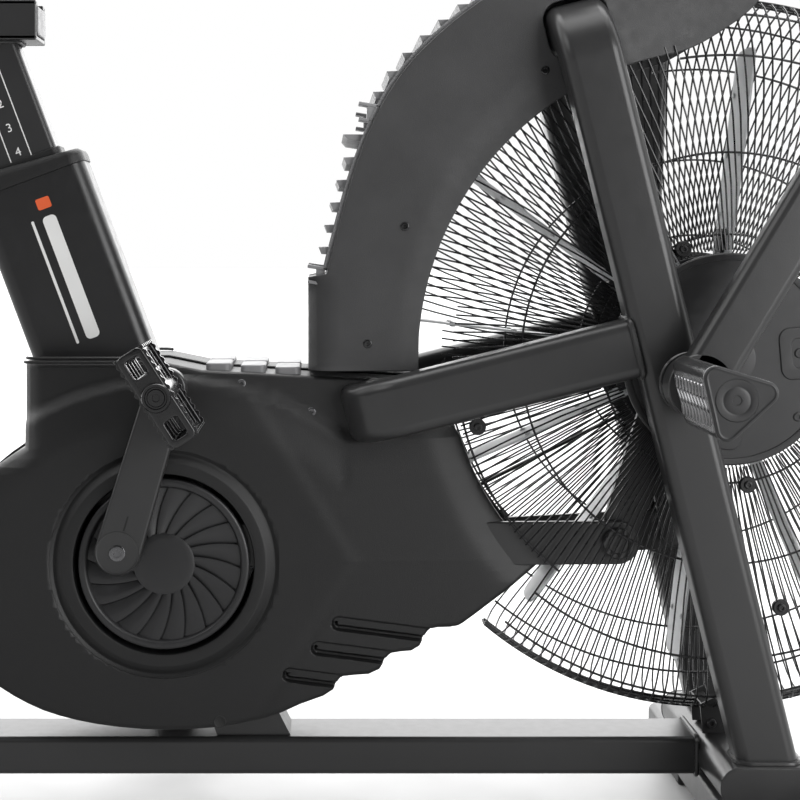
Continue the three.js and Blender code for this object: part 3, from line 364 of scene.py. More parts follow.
def finish(name, colour, rough, metal=0.0, grain=0.12, scale=900.0, cells=False, mottle=0.15, patch=18.0,
           coat=0.0, spread=0.07, wear=0.0, sheen=0.0):
    """A procedural surface: mottled colour, uneven roughness and a fine grain in the normals."""
    material = bpy.data.materials.new(name)
    material.use_nodes = True
    tree = material.node_tree
    place = tree.nodes.new("ShaderNodeTexCoord").outputs["Object"]

    def pattern(size, detail, kind="ShaderNodeTexNoise"):
        return add_node(tree, kind, {"Scale": size, "Detail": detail, "Vector": place}).outputs[0]

    def tinted(factor, lift=0.0):
        return [min(c * factor + lift, 1) for c in colour] + [1]

    ramp = add_node(tree, "ShaderNodeValToRGB", {"Fac": pattern(patch, 4.0)})
    stops = ((0.3, tinted(1 - mottle)), (0.72, tinted(1 + mottle)))
    for element, (at, shade) in zip(ramp.color_ramp.elements, stops):
        element.position, element.color = at, shade
    tint = ramp.outputs["Color"]
    if wear:
        point = tree.nodes.new("ShaderNodeNewGeometry").outputs["Pointiness"]
        edge = add_node(tree, "ShaderNodeMapRange",
                        {"From Min": 0.53, "From Max": 0.62, "To Max": wear, "Value": point})
        worn = {"Factor": edge.outputs["Result"], "A": tint, "B": tinted(3, 0.03)}
        tint = add_node(tree, "ShaderNodeMix", worn, data_type="RGBA").outputs["Result"]
    uneven = add_node(tree, "ShaderNodeMapRange",
                      {"From Min": 0.3, "From Max": 0.7, "To Min": rough - spread, "To Max": rough + spread,
                       "Value": pattern(patch * 5, 3.0)})
    height = pattern(scale, 2.0, "ShaderNodeTexVoronoi" if cells else "ShaderNodeTexNoise")
    bump = add_node(tree, "ShaderNodeBump", {"Strength": grain, "Distance": 0.0006, "Height": height})
    set_inputs(tree, tree.nodes["Principled BSDF"],
               {"Metallic": metal, "Coat Weight": coat, "Coat Roughness": 0.12, "Sheen Weight": sheen,
                "Sheen Roughness": 0.4, "Base Color": tint, "Roughness": uneven.outputs["Result"],
                "Normal": bump.outputs["Normal"]})
    return material


STEEL = finish("powder_coat", (0.030, 0.030, 0.0305), 0.30, grain=0.08, scale=700, mottle=0.04,
               wear=0.03, spread=0.02)
DARK_STEEL = finish("dark_powder_coat", (0.011, 0.011, 0.0115), 0.34, grain=0.10, scale=700,
                    wear=0.15, spread=0.04)
SHROUD = finish("shroud_plastic", (0.038, 0.038, 0.039), 0.48, grain=0.22, scale=1500, cells=True, wear=0.1)
PLASTIC = finish("grained_shell", (0.006, 0.006, 0.0063), 0.46, grain=0.22, scale=1500, cells=True,
                 mottle=0.05, spread=0.015)
DISC = finish("satin_disc", (0.020, 0.020, 0.021), 0.38, grain=0.12, scale=1300, cells=True)
GLOSS = finish("glossy_nylon", (0.007, 0.007, 0.0075), 0.20, grain=0.10, scale=500, coat=0.4, spread=0.06)
WIRE = finish("coated_wire", (0.012, 0.012, 0.013), 0.3, grain=0.05)
RUBBER = finish("rubber", (0.016, 0.016, 0.017), 0.75, grain=0.3, scale=1200, sheen=0.15)
FOAM = finish("foam_grip", (0.02, 0.02, 0.021), 0.88, grain=0.6, scale=1100, cells=True, sheen=0.3)
CHROME = finish("bright_steel", (0.62, 0.63, 0.65), 0.16, metal=1.0, grain=0.03, scale=300, mottle=0.05,
                spread=0.05)
ALLOY = finish("machined_alloy", (0.16, 0.16, 0.165), 0.26, metal=0.9, grain=0.12, scale=260, mottle=0.2)
PEG = finish("anodised_black", (0.30, 0.30, 0.305), 0.2, metal=0.9, grain=0.08, scale=350, mottle=0.2)
BLADE = finish("fan_blade", (0.66, 0.67, 0.68), 0.42, metal=0.1, grain=0.06, scale=400, mottle=0.05)
BLADE_DARK = finish("fan_hub", (0.02, 0.02, 0.022), 0.45, grain=0.08)
BELT_MAT = finish("belt_rubber", (0.012, 0.012, 0.012), 0.7, grain=0.4, scale=600)
VINYL = finish("saddle_vinyl", (0.014, 0.014, 0.015), 0.5, grain=0.75, scale=520, cells=True, sheen=0.1,
               mottle=0.2)
SCREEN = finish("display_glass", (0.02, 0.025, 0.024), 0.08, grain=0.0, coat=1.0, spread=0.02)
PALE = finish("printed_white", (0.75, 0.75, 0.74), 0.5, grain=0.05, mottle=0.03)
ORANGE = finish("printed_orange", (0.75, 0.12, 0.035), 0.5, grain=0.05, mottle=0.04)
GUARD = finish("louvre_plastic", (0.22, 0.22, 0.225), 0.42, grain=0.2, scale=1500, cells=True)

for node, material in (("main_frame", STEEL), ("crank_bearing_right", CHROME), ("crank_bearing_left", CHROME),
                       ("crank_spindle", CHROME), ("crank_pulley", ALLOY), ("fan_pulley", ALLOY),
                       ("fan_axle", CHROME), ("drive_belt", BELT_MAT), ("inner_crank_right", STEEL),
                       ("inner_crank_left", STEEL)):
    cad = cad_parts[node]
    cad.data.materials.clear()
    cad.data.materials.append(material)


# ---------------------------------------------------------------- base

def make_base():
    tube = Build().bar([(-680, 0, BASE_Z), (280, 0, BASE_Z)], Z, 80, 39.7, 6)
    tube.weld([(278, u, BASE_Z + v) for u, v in rounded(82, 41, 7)], 2.4)
    tube.weld([(x, y, 61.5) for x, y in shifted(rounded(70, 84, 3), FOOT_X, 0)], 2.0)
    piece("base_beam", tube, "frame", STEEL, ["base_tube"])
    cap = Build().bar([(-681.5, 0, BASE_Z), (-675, 0, BASE_Z)], Z, 80.6, 40.2, 6.4, (2, 0))
    piece("base_beam_cap", cap, "frame", RUBBER)

    for name, x, node in (("rear", FOOT_X, "rear_stabilizer"), ("front", 317, "front_stabilizer")):
        beam = Build().bar([(x, -251, 40), (x, 251, 40)], Z, 70, 40, 8)
        caps = Build()
        for side, _ in SIDES:
            caps.bar([(x, side * y, 40) for y in (245, 250, 255)], Z, 69, 39, 7.6, (0, 3.5))
            if name == "front":
                caps.bar([(x, side * 118, 10), (x, side * 182, 10)], Z, 52, 21, 3, (2.5, 2.5), 3)
                lug = [(351, 24), (382, 24), (392, 30), (392, 42), (382, 48), (351, 56)]
                for y in (side * WHEEL_Y - 13, side * WHEEL_Y + 13):
                    beam.plate(lug, y - 2, y + 2, 0.6)
                for way in (-1, 1):
                    beam.bolt(facing(WHEEL, side * WHEEL_Y + way * 15, way), 7, 4)
                beam.lathe([(4.5, -15), (4.5, 15)], facing(WHEEL, side * WHEEL_Y, 1), 16)
        piece(name + "_stabilizer_bar", beam, "frame", STEEL, [node])
        piece(name + "_stabilizer_caps", caps, "frame", RUBBER)

    cross = Build().bar([(328.15, -152, 80.65), (328.15, 152, 80.65)], Z, 99.7, 40.7, 19, (1.5, 1.5), 8)
    for side, _ in SIDES:
        loop = shifted(rounded(63, 49, 12), along_upright(102).x, side * UPRIGHT_Y)
        cross.weld([(x, y, 102) for x, y in loop], 2.6)
        edge = [(328.15 + u, side * 150.6, 80.65 + v) for u, v in rounded(98.5, 39.5, 18.6, 8)]
        cross.wire(edge, 1.3, 6, True)
    piece("front_cross_beam", cross, "frame", STEEL, ["front_cross_member"])

    for side, word in SIDES:
        wheel, tyre = Build(), Build()
        place = facing(WHEEL, side * WHEEL_Y, 1)
        tyre.lathe([(21, -8.5), (26, -9), (29, -7.5), (30, -4), (30, 4), (29, 7.5), (26, 9), (21, 8.5)],
                   place, 48, True)
        wheel.lathe([(6, -9), (9, -9), (10, -6), (20, -5), (21.5, -8), (21.5, 8), (20, 5), (10, 6), (9, 9),
                     (6, 9)], place, 40, True)
        centre = xz(WHEEL, side * WHEEL_Y)
        for k in range(6):
            direction = Vector((math.cos(k * math.pi / 3), 0, math.sin(k * math.pi / 3)))
            wheel.bar([centre + direction * 9, centre + direction * 21], Y, 3, 15, 1)
        piece("wheel_tyre_" + word, tyre, "transport_wheel_" + word, RUBBER,
              ["transport_wheel_" + word])
        piece("wheel_hub_" + word, wheel, "transport_wheel_" + word, PLASTIC)

        foot = Build()
        place = Matrix.Translation((FOOT_X, side * FOOT_Y, 0))
        foot.lathe([(0, 0), (22, 0), (24, 1.5), (24, 4), (22, 6), (11, 11), (10, 12), (0, 12)], place, 40)
        foot.lathe([(0, 10), (9.5, 10), (9.5, 17), (8.5, 18), (0, 18)], place, 6)
        foot.lathe([(0, 12), (5.4, 12), (5.4, 31), (4.6, 32), (0, 32)], place, 20)
        for k in range(24):
            a = math.radians(k * 15)
            x, y = FOOT_X + 23.4 * math.cos(a), side * FOOT_Y + 23.4 * math.sin(a)
            foot.wire([(x, y, 1.5), (x, y, 4.4)], 0.9, 6)
        piece("levelling_pad_" + word, foot, "levelling_foot_" + word, RUBBER,
              ["levelling_foot_" + word])


# ---------------------------------------------------------------- uprights, yoke, mast

def make_welded_frame():
    elbow = along_upright(ELBOW_Z)
    yoke_end = (-71.5, 451)

    def collar(at, y, width, depth):
        """A loop round a tube that runs across the bike, square to the uprights."""
        return [on_line(at, (u, ACROSS), (v, UP), (y, Y)) for u, v in rounded(width, depth, 12)]
    for side, word in SIDES:
        y = side * UPRIGHT_Y
        corners = [along_upright(94, y), along_upright(ELBOW_Z, y), (elbow.x, side * 30.3, ELBOW_Z)]
        path = fillet(corners, 40, 14)
        upright = Build().bar(path, ACROSS, 47, 60, 12, (0, 0), 7)
        upright.lathe([(15.6, 0), (27, 0), (27, 19), (15.6, 19)], facing(PIVOT, side * 75, side), 48, True)
        upright.plate(belt(PIVOT, 27, FAN, 20), side * 75, side * 80, 0.8,
                      [arc(PIVOT, 15.6, 0, 345, 23), arc(FAN, 8.5, 0, 345, 23)])
        upright.weld(collar(elbow, side * 31, 62, 49), 2.4)
        weld_at = on_line((224.26, y, 525.3), (-30.6, ACROSS))
        upright.weld([on_line(weld_at, (u, Y), (v, UP)) for u, v in rounded(48, 61, 12)], 2.6)
        piece("upright_tube_" + word, upright, "frame", STEEL, ["upright_" + word])

        housing = Build()
        place = facing(PIVOT, side * 139, side)
        housing.lathe([(15.7, 0), (31, 0), (31, 3), (29.5, 4.5), (29.5, 9), (27.5, 10), (27.5, 13), (31, 14),
                       (31.5, 15.5), (31.5, 23), (30, 25), (15.7, 25)], place, 64, True)
        piece("pivot_housing_" + word, housing, "frame", GLOSS)

        end = Vector((yoke_end[0], y, yoke_end[1]))
        corners = [on_line(end, (304.95 - 31, ACROSS)), end, (yoke_end[0], side * 62.3, yoke_end[1])]
        path = fillet(corners, 40, 14)
        arm = Build().bar(path, UP, 47, 60, 12, (0, 0), 7)
        piece("yoke_tube_" + word, arm, "frame", STEEL, ["yoke_arm_" + word])

    foot, tip = on_line(elbow, (-23.5, UP)), on_line(elbow, (MAST_LENGTH + 4, UP))
    mast = Build().bar([foot, tip], ACROSS, 60, 60, 12, (0, 1.5), 7)
    top = on_line(elbow, (MAST_LENGTH, UP))
    hinge = (top.x, top.z + 24)
    mast.lathe([(6, -14), (15, -14), (16, -13), (16, 13), (15, 14), (6, 14)], facing(hinge, 0, 1), 32, True)
    ear = [(top.x - 22, top.z - 8), (top.x + 22, top.z + 2), (top.x + 14, hinge[1]), (top.x - 14, hinge[1])]
    mast.plate(ear, -14, 14, 0.8, [arc(hinge, 7, 0, 340, 17)])
    for side, _ in SIDES:
        mast.weld(collar(elbow, side * 31.5, 60, 46), 1.8)
    piece("mast_tube", mast, "frame", STEEL, ["console_mast"])


# ---------------------------------------------------------------- seat

def numeral(text, at, height):
    """A printed figure as flat points of a mesh, standing on the seat post's side."""
    curve = bpy.data.curves.new("figure", "FONT")
    curve.body, curve.size, curve.align_x, curve.align_y = text, height, "CENTER", "CENTER"
    curve.extrude = 0.15
    holder = bpy.data.objects.new("figure", curve)
    bpy.context.scene.collection.objects.link(holder)
    depsgraph = bpy.context.evaluated_depsgraph_get()
    mesh = bpy.data.meshes.new_from_object(holder.evaluated_get(depsgraph))
    bpy.data.objects.remove(holder)
    made = [at @ v.co for v in mesh.vertices], [list(p.vertices) for p in mesh.polygons]
    bpy.data.meshes.remove(mesh)
    return made


def make_seat():
    tube = Build().bar([on_seat(46), on_seat(423)], SEAT_FORE, 70, 125, 16, (0, 0), 8)
    piece("seat_tube_shell", tube, "frame", DARK_STEEL, ["seat_tube"])
    rows = []
    for along, less in ((421.8, 1.2), (422.4, 0.2), (424, 0), (431, 0), (434.2, 1.0), (436.6, 3.4),
                        (437, 6.5), (437, 10)):
        section = rounded(128 - 2 * less, 73 - 2 * less, 17 - less, 8)
        rise = max(along - 424, 0) / 13
        rows.append([on_seat(along + 9 * rise * smooth(62, -40, fore), fore, y) for fore, y in section])
    for along, length, width, radius in ((437, 86, 47, 9), (446, 86, 47, 9), (447, 84, 45, 8),
                                         (447, 80.6, 42.6, 7.6), (421.8, 80.6, 42.6, 7.6)):
        rise = 9 if along == 437 else 0
        rows.append([on_seat(along + rise * smooth(62, -40, fore), fore, y)
                     for fore, y in rounded(length, width, radius, 8)])
    collar = Build().skin(rows, wrap_rows=True)
    piece("seat_tube_bushing", collar, "frame", PLASTIC, ["seat_tube_collar"])

    for side, word in SIDES:
        stripe, accent = Build(), Build()
        y = side * 35.05
        for fore, low, high, width in ((8, 243, 380, 15), (-10, 243, 380, 3)):
            stripe.bar([on_seat((low + high) / 2, fore, y), on_seat((low + high) / 2, fore, y + side * 0.25)],
                       SEAT_UP, width, high - low, min(width / 2.2, 5))
        accent.bar([on_seat(394, 8, y), on_seat(394, 8, y + side * 0.25)], SEAT_UP, 15, 12, 2)
        piece("tube_stripe_" + word, stripe, "frame", PALE)
        piece("tube_accent_" + word, accent, "frame", ORANGE)

    pin = Build()
    place = aimed(on_seat(378), -SEAT_FORE)
    pin.lathe([(0, 48), (7, 48), (8.4, 50), (8.4, 74), (0, 74)], place, 32)
    pin.lathe([(0, 74), (13, 74), (19, 77), (20, 80), (20, 91), (18, 95), (12, 96.3), (0, 96.5)], place, 48)
    for k in range(16):
        a = math.radians(k * 22.5)
        pin.wire([place @ Vector((19.2 * math.cos(a), 19.2 * math.sin(a), h)) for h in (79, 92)], 1.3, 6)
    piece("pull_pin_knob", pin, "post_pull_pin", RUBBER, ["post_pull_pin"])

    head_z, head_x = 837, -484.4
    post_top = (head_z - CRANK[1]) / math.cos(SEAT_LEAN)
    post = Build().bar([on_seat(170), on_seat(post_top - 2)], SEAT_FORE, 40, 78, 7, (0, 0), 6)
    post.verts = [v + SEAT_UP * ((head_z + 1 - v.z) / SEAT_UP.z) if v.z > 700 else v for v in post.verts]
    back, front = head_x - 65, head_x + 65
    for low, high in ((-31, -25.6), (25.6, 31)):
        post.box((back, low, head_z), (front, high, 878.5), 1.6)
    post.box((back, -31, head_z), (front, 31, 842.4), 1.6)
    for low, high in ((-31, -17), (17, 31)):
        post.box((back, low, 873.6), (front, high, 878.8), 1.4)
    post.weld([(head_x + 3 + u, v, 836.2) for u, v in rounded(84, 42, 7)], 2.0)
    piece("seat_post_tube", post, "seat_post", STEEL, ["seat_post"])

    marks = Build()
    for side, _ in SIDES:
        y = side * 20.1
        for fore in (12, -11):
            marks.bar([on_seat(505, fore, y), on_seat(505, fore, y + side * 0.2)], SEAT_UP, 1.2, 190, 0.5)
        for k in range(1, 7):
            turn = Matrix((SEAT_FORE * -side, SEAT_UP, Y * side)).transposed()
            at = Matrix.Translation(on_seat(455 + 27 * (4 - k), 0, y)) @ turn.to_4x4()
            marks.add(*numeral(str(k), at, 13))
    piece("post_scale", marks, "seat_post", PALE)
    stops = Build()
    for k in range(9):
        stops.lathe([(0, 0.05), (4.6, 0.05), (5.4, 0.2), (6.4, 0.2), (6.8, -0.5), (0, -0.5)],
                    aimed(on_seat(300 + 27 * k, -39), -SEAT_FORE), 24)
    piece("post_stops", stops, "seat_post", GLOSS)

    knob = Build()
    place = facing((head_x, RAIL_Z), 0, 1)
    knob.lathe([(0, 26), (5, 26), (5.4, 27), (5.4, 38), (0, 38)], place, 24)
    rows = []
    for h, scale in ((36, 0.80), (38, 0.96), (42, 1.0), (53, 0.97), (56.5, 0.86), (57.8, 0.6), (58, 0.05)):
        row = []
        for k in range(72):
            a = math.radians(k * 5)
            r = 17.2 * scale * (1 + 0.14 * math.cos(math.radians(k * 25)))
            row.append(place @ Vector((r * math.cos(a), r * math.sin(a), h)))
        rows.append(row)
    knob.skin(rows, caps=True)
    piece("clamp_knob", knob, "slider_clamp_knob", GLOSS, ["slider_clamp_knob"])

    slider = Build().bar([(-638, 0, RAIL_Z), (-420, 0, RAIL_Z)], Z, 50, 30, 5, (0, 0), 5)
    slider.bar([(-560, 0, 871), (-560, 0, 905)], X, 26, 40, 5)
    slider.bar([(-560, 0, 900), (-560, 0, 906)], X, 96, 130, 12, (1, 1))
    slider.weld([(-560 + u, v, 873.6) for u, v in rounded(41, 27, 5)], 1.3)
    piece("seat_rail", slider, "seat_slider", STEEL, ["seat_slider"])
    caps = Build()
    for back, front, ends in ((-640, -636, (1.6, 0)), (-422, -418, (0, 1.6))):
        caps.bar([(back, 0, RAIL_Z), (front, 0, RAIL_Z)], Z, 50.4, 30.4, 5.2, ends)
    piece("seat_rail_caps", caps, "seat_slider", GUARD)


def saddle_outline():
    half = [(188, 0)]
    half += bezier((188, 0), (188, 24), (150, 22), (90, 29))
    half += bezier((90, 29), (40, 37), (10, 98), (-45, 110))
    half += bezier((-45, 110), (-100, 118), (-116, 78), (-116, 0))
    return half + [(x, -y) for x, y in half[-2:0:-1]]


def make_saddle():
    """The padded saddle: a smaller body swollen by cloth pressure, then its seams, base pan and piping."""
    outline = turned_left(saddle_outline())
    rows = []
    for z, less in ((912, 10), (915, 6), (922, 3), (938, 2), (956, 4), (966, 8), (972, 14), (975, 24)):
        row = []
        for x, y in inset(outline, less):
            lift = (4 if x < -40 else 0) * (z > 950) - 5 * smooth(40, 150, x) * (z > 950)
            row.append(Vector((x + SADDLE_X, y, z + lift)))
        rows.append(row)
    build = Build().skin(rows, caps=True)
    mesh = bpy.data.meshes.new("saddle_core")
    mesh.from_pydata([v * MM for v in build.verts], [], [list(f) for f in build.faces])
    core = bpy.data.objects.new("saddle_pad", mesh)
    bpy.context.scene.collection.objects.link(core)

    def applied(obj):
        depsgraph = bpy.context.evaluated_depsgraph_get()
        made = bpy.data.meshes.new_from_object(obj.evaluated_get(depsgraph))
        obj.modifiers.clear()
        obj.data = made

    remesh = core.modifiers.new("remesh", "REMESH")
    remesh.mode, remesh.voxel_size = "VOXEL", 0.005
    applied(core)
    rest = [v.co.copy() for v in core.data.vertices]
    group = core.vertex_groups.new(name="base")
    group.add([i for i, co in enumerate(rest) if co.z < 0.9155], 1.0, "REPLACE")
    cloth = core.modifiers.new("cloth", "CLOTH")
    cloth.settings.use_pressure = True
    cloth.settings.uniform_pressure_force = 4
    cloth.settings.effector_weights.gravity = 0
    cloth.settings.vertex_group_mass = "base"
    for f in range(1, 21):
        bpy.context.scene.frame_set(f)
    applied(core)
    bpy.context.scene.frame_set(1)
    cap = 0.010
    for vertex, start in zip(core.data.vertices, rest):
        moved = vertex.co - start
        if moved.length > cap:
            vertex.co = start + moved.normalized() * cap
        x, y = vertex.co.x / MM - SADDLE_X, vertex.co.y / MM
        if vertex.co.z > 0.95:
            channel = math.exp(-(y / 9) ** 2) * smooth(-95, -60, x) * (1 - smooth(60, 120, x))
            stitch = math.exp(-((abs(y) - (16 + 34 * (1 - smooth(-60, 90, x)))) / 2.2) ** 2)
            stitch *= smooth(-100, -70, x) * (1 - smooth(110, 150, x))
            vertex.co.z -= (5.5 * channel + 1.6 * stitch) * MM
        vertex.co.z = min(vertex.co.z, 0.9845)
    core.data.materials.clear()
    core.data.materials.append(VINYL)
    core.data.shade_smooth()
    soften = core.modifiers.new("subdivision", "SUBSURF")
    soften.levels = soften.render_levels = 1
    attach(core, "seat_slider")
    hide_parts("saddle")

    pan, piping = Build(), Build()
    pan.skin([[Vector((x + SADDLE_X, y, z)) for x, y in inset(outline, less)]
              for z, less in ((905.8, 16), (906.5, 9), (909, 5), (913, 4), (917, 5.5))], caps=True)
    piping.wire([Vector((x + SADDLE_X, y, 916.5)) for x, y in inset(outline, 1.8)], 2.2, 8, True)
    piece("saddle_pan", pan, "seat_slider", PLASTIC)
    piece("saddle_piping", piping, "seat_slider", VINYL)


# ---------------------------------------------------------------- rear cover

# The cover's upper ridge is an arc that runs into a straight line in front of RIDGE_END.
RIDGE_CENTRE, RIDGE_R, RIDGE_END = (-271.5, 196.3), 284.5, -94
COVER_FACE = 88.5
# Each groove as (x, z) of its front end and its length.
GROOVES = ((-12, 219, 97), (-52, 196, 78), (-103, 171.5, 56))
GROOVE_COS, GROOVE_SIN = math.cos(math.radians(-8.0)), math.sin(math.radians(-8.0))


def cover_outline():
    made = [(-426, 500), (-426, 412)]
    made += bezier(made[-1], (-475, 385), (-516, 335), (-519, 285), 12)
    made += bezier(made[-1], (-522, 215), (-470, 165), (-407, 140), 12)
    made += bezier(made[-1], (-345, 117), (-215, 108), (-140.5, 147), 12)
    steps = [(-140.5, 147), (-109, 158), (-101, 173), (-95, 176), (-62, 178), (-51, 196), (-45, 200),
             (-20, 202), (-11, 220), (-5, 225.5), (20, 226), (29, 231), (70, 262), (106, 289)]
    made += rounder(steps)[1:-1]
    made += arc(FAN, 284, 228.4, 196.4, 28)
    made += [(-20, 480), (-60, 482.2), (-243, 492), (-282, 500)]
    return made


def cover_height(x, z):
    """How far the cover's face stands out from the middle plane."""
    height = COVER_FACE
    if x < RIDGE_END:
        dx = x - RIDGE_CENTRE[0]
        ridge = RIDGE_CENTRE[1] + math.sqrt(max(RIDGE_R ** 2 - dx * dx, 0))
        slope = max(abs(dx) / RIDGE_R, 0.05)
    else:
        ridge, slope = 419 + (x - RIDGE_END) * 0.07, 0.1
    above = (z - ridge) * math.sqrt(max(1 - min(slope, 0.95) ** 2, 0.1))
    height -= 12 * smooth(-2.5, 5.5, above)
    height -= 3.5 * smooth(-46, -2, above) * (1 - smooth(-2, 2, above))
    crease = max(x - (-92 - 0.62 * abs(z - 296)), 0)
    height -= (0.045 * crease + 0.8 * smooth(0, 16, crease)) * (1 - smooth(-2, 6, above))
    reach = math.dist((x, z), FAN)
    angle = math.degrees(math.atan2(FAN[1] - z, FAN[0] - x))
    width = 30 + 10 * smooth(18, 46, angle)
    fall = 284 + width - reach
    height -= 0.17 * (fall + math.hypot(fall, 6)) * (1 - smooth(-2, 6, above))
    rear = max(-404 - x, 0) * smooth(380, 420, z)
    height -= 0.028 * rear * rear
    below = math.dist((x, z), CRANK)
    height -= 0.0009 * max(below - 128, 0) ** 2 * smooth(300, 180, z) * (1 - smooth(0, 20, crease))
    for gx, gz, length in GROOVES:
        u = (x - gx) * GROOVE_COS + (z - gz) * GROOVE_SIN
        v = -(x - gx) * GROOVE_SIN + (z - gz) * GROOVE_COS
        end = -length + 7
        off = math.hypot(min(u - end, 0), v)
        if u > 14 or off > 8.5:
            continue
        inside = 1 - smooth(6.0, 7.8, off)
        deep = 2.2 + 5.0 * smooth(1.5, 3.4, -v if u > end else off * (1 if v < 2 else 0.2))
        height -= inside * deep * (1 - smooth(-2, 14, u))
    return height


def make_covers():
    outline = turned_left(cover_outline())
    hole = arc(CRANK, 118, 0, 352.5, 47)[::-1]
    build, edge, flat_y = Build(), 5.0, 85
    rows = []
    for by, y in ((edge, flat_y), (edge * 0.5, flat_y - edge * 0.134), (edge * 0.134, flat_y - edge * 0.5),
                  (0, flat_y - edge), (0, 0.3)):
        rows.append([Vector((x, y, z)) for x, z in inset(outline, by)])
    n = len(outline)
    for k in range(4):
        for i in range(n):
            j = (i + 1) % n
            middle = [(outline[i][a] + outline[j][a]) / 2 for a in (0, 1)]
            if k == 3 and math.dist(middle, FAN) < 336:
                continue
            build.add([rows[k][i], rows[k][j], rows[k + 1][j], rows[k + 1][i]], [range(4)])
    ring = [Vector((x, flat_y, z)) for x, z in hole]
    flat = [[Vector((p.x, p.z, 0)) for p in loop] for loop in (rows[0], ring)]
    build.add(rows[0] + ring, geometry.tessellate_polygon(flat))

    def shape(bm):
        for x in range(-516, 112, 6):
            slice_mesh(bm, (x, 0, 0), X)
        for z in range(116, 500, 6):
            slice_mesh(bm, (0, 0, z), Z)
        along, across = Vector((GROOVE_COS, 0, GROOVE_SIN)), Vector((-GROOVE_SIN, 0, GROOVE_COS))
        for gx, gz, length in GROOVES:
            at = Vector((gx, 0, gz))

            def near(low, high):
                found = []
                for f in bm.faces:
                    p = f.calc_center_median() / MM
                    u, v = (p - at).dot(along), (p - at).dot(across)
                    if p.y > 78 and low < u < high and abs(v) < 13:
                        found.append(f)
                return found

            for k in range(-9, 10):
                slice_mesh(bm, at + across * k, across, near(-length - 8, 24))
            for k in range(14):
                slice_mesh(bm, at + along * (k * 1.2 - length - 3), along, near(-length - 8, -length + 20))
        for vertex in bm.verts:
            x, z = vertex.co.x / MM, vertex.co.z / MM
            vertex.co.y *= cover_height(x, z) / flat_y

    right = build.mirrored()
    # The shell's normals point inwards, so this offset puts the wall inside the face.
    wall = [("SOLIDIFY", {"thickness": 0.0026, "offset": 1, "use_even_offset": False})]
    for side, word in SIDES:
        def shaped(bm, side=side):
            for v in bm.verts:
                v.co.y = abs(v.co.y)
            shape(bm)
            for v in bm.verts:
                v.co.y *= side
        piece("cover_shell_" + word, build if side > 0 else right, "frame", PLASTIC,
              ["rear_cover_" + word], 55, shaped, wall)

        bezel = Build()
        bezel.lathe([(92.5, 60), (92.5, 88), (93.5, 89.8), (95.5, 90.5), (104, 90.5), (106, 89.9),
                     (112, 85.4), (114.5, 84.8), (117, 86), (120, 88.2), (120, 84), (112, 80), (95, 82),
                     (95, 60)], facing(CRANK, 0, side), 120, True)
        piece("crank_bezel_" + word, bezel, "frame", PLASTIC)

        screws = Build()
        for x, z in ((-201.5, 478), (-129.3, 449)):
            screws.bolt(facing((x, z), side * (cover_height(x, z) - 0.4), side), 4.6, 1.8, 0.42)
        piece("cover_screws_" + word, screws, "frame", ALLOY)
        # A dark disc with a low rim on the cover's face: the rim is shape, the dark is painted shade standing
        # in for the drain hole.
        drain_shade = Build().lathe([(0, 0.3), (4.6, 0.3), (5.6, 0.9), (6.4, 0.7), (6.8, -0.5), (0, -0.5)],
                             facing((-224, 130), side * (cover_height(-224, 130) + 0.2), side), 32)
        piece("cover_drain_shade_" + word, drain_shade, "frame", BELT_MAT)

        vents = Build()
        for k in range(3):
            x = -226 + 36 * k
            z = 492 - (x + 243) * 0.0545
            vents.bar([(x, side * 36, z - 1), (x, side * 36, z + 7.5)], X, 62, 26, 6, (0, 1.6), 5)
        piece("cover_vents_" + word, vents, "frame", GUARD)
        collar = Build()
        for z, grow in ((500.5, 0), (504.5, -2)):
            outer = rounded(142 + grow * 2, 168 + grow * 2, 10)
            half = [(x, y) for x, y in outer if y >= -0.01]
            collar.wire([(-354 + x, side * max(y, 0.5), z) for x, y in half], 1.6, 6)
        piece("cover_neck_" + word, collar, "frame", PLASTIC)


# ---------------------------------------------------------------- shroud over the fan

def shroud_radius(degrees):
    return 446 - 25 * smooth(135, 165, degrees)


def shroud_outline():
    made = [polar(FAN, shroud_radius(a), a) for a in range(80, 169, 2)]
    made += [(-133, 588), (-133, 491.5)]
    made.append((FAN[0] - math.sqrt(318 ** 2 - 12.5 ** 2), 491.5))
    made += [polar(FAN, 318, a) for a in range(176, 99, -2)]
    end = [polar(FAN, 318, 100)]
    for a, share in ((97, 0.02), (94, 0.07), (90.5, 0.16), (87, 0.28), (84.3, 0.44), (82, 0.62)):
        end.append(polar(FAN, 318 + share * 128, a))
    return made + rounder(end)[1:] + [polar(FAN, 430, 80.6)]


def shroud_height(x, z):
    """How far the shroud's side stands out: rounded at the rear foot, sloping away in front of the mast."""
    reach, angle = math.dist((x, z), FAN), math.degrees(math.atan2(z - FAN[1], x - FAN[0]))
    crease = 338 + 16 * (1 - smooth(125, 170, angle)) if z > FAN[1] else 338
    height = 89 - 2.6 * min(max((crease - reach) / 22, 0), 1)
    height -= 26 * (1 - math.sqrt(max(1 - min(max((-107 - x) / 26, 0), 1) ** 2, 0))) * smooth(600, 575, z)
    ridge = 172 + (870 - z) * 0.456
    return height - 0.10 * max(x - ridge, 0) - 1.4 * smooth(0, 5, x - ridge)


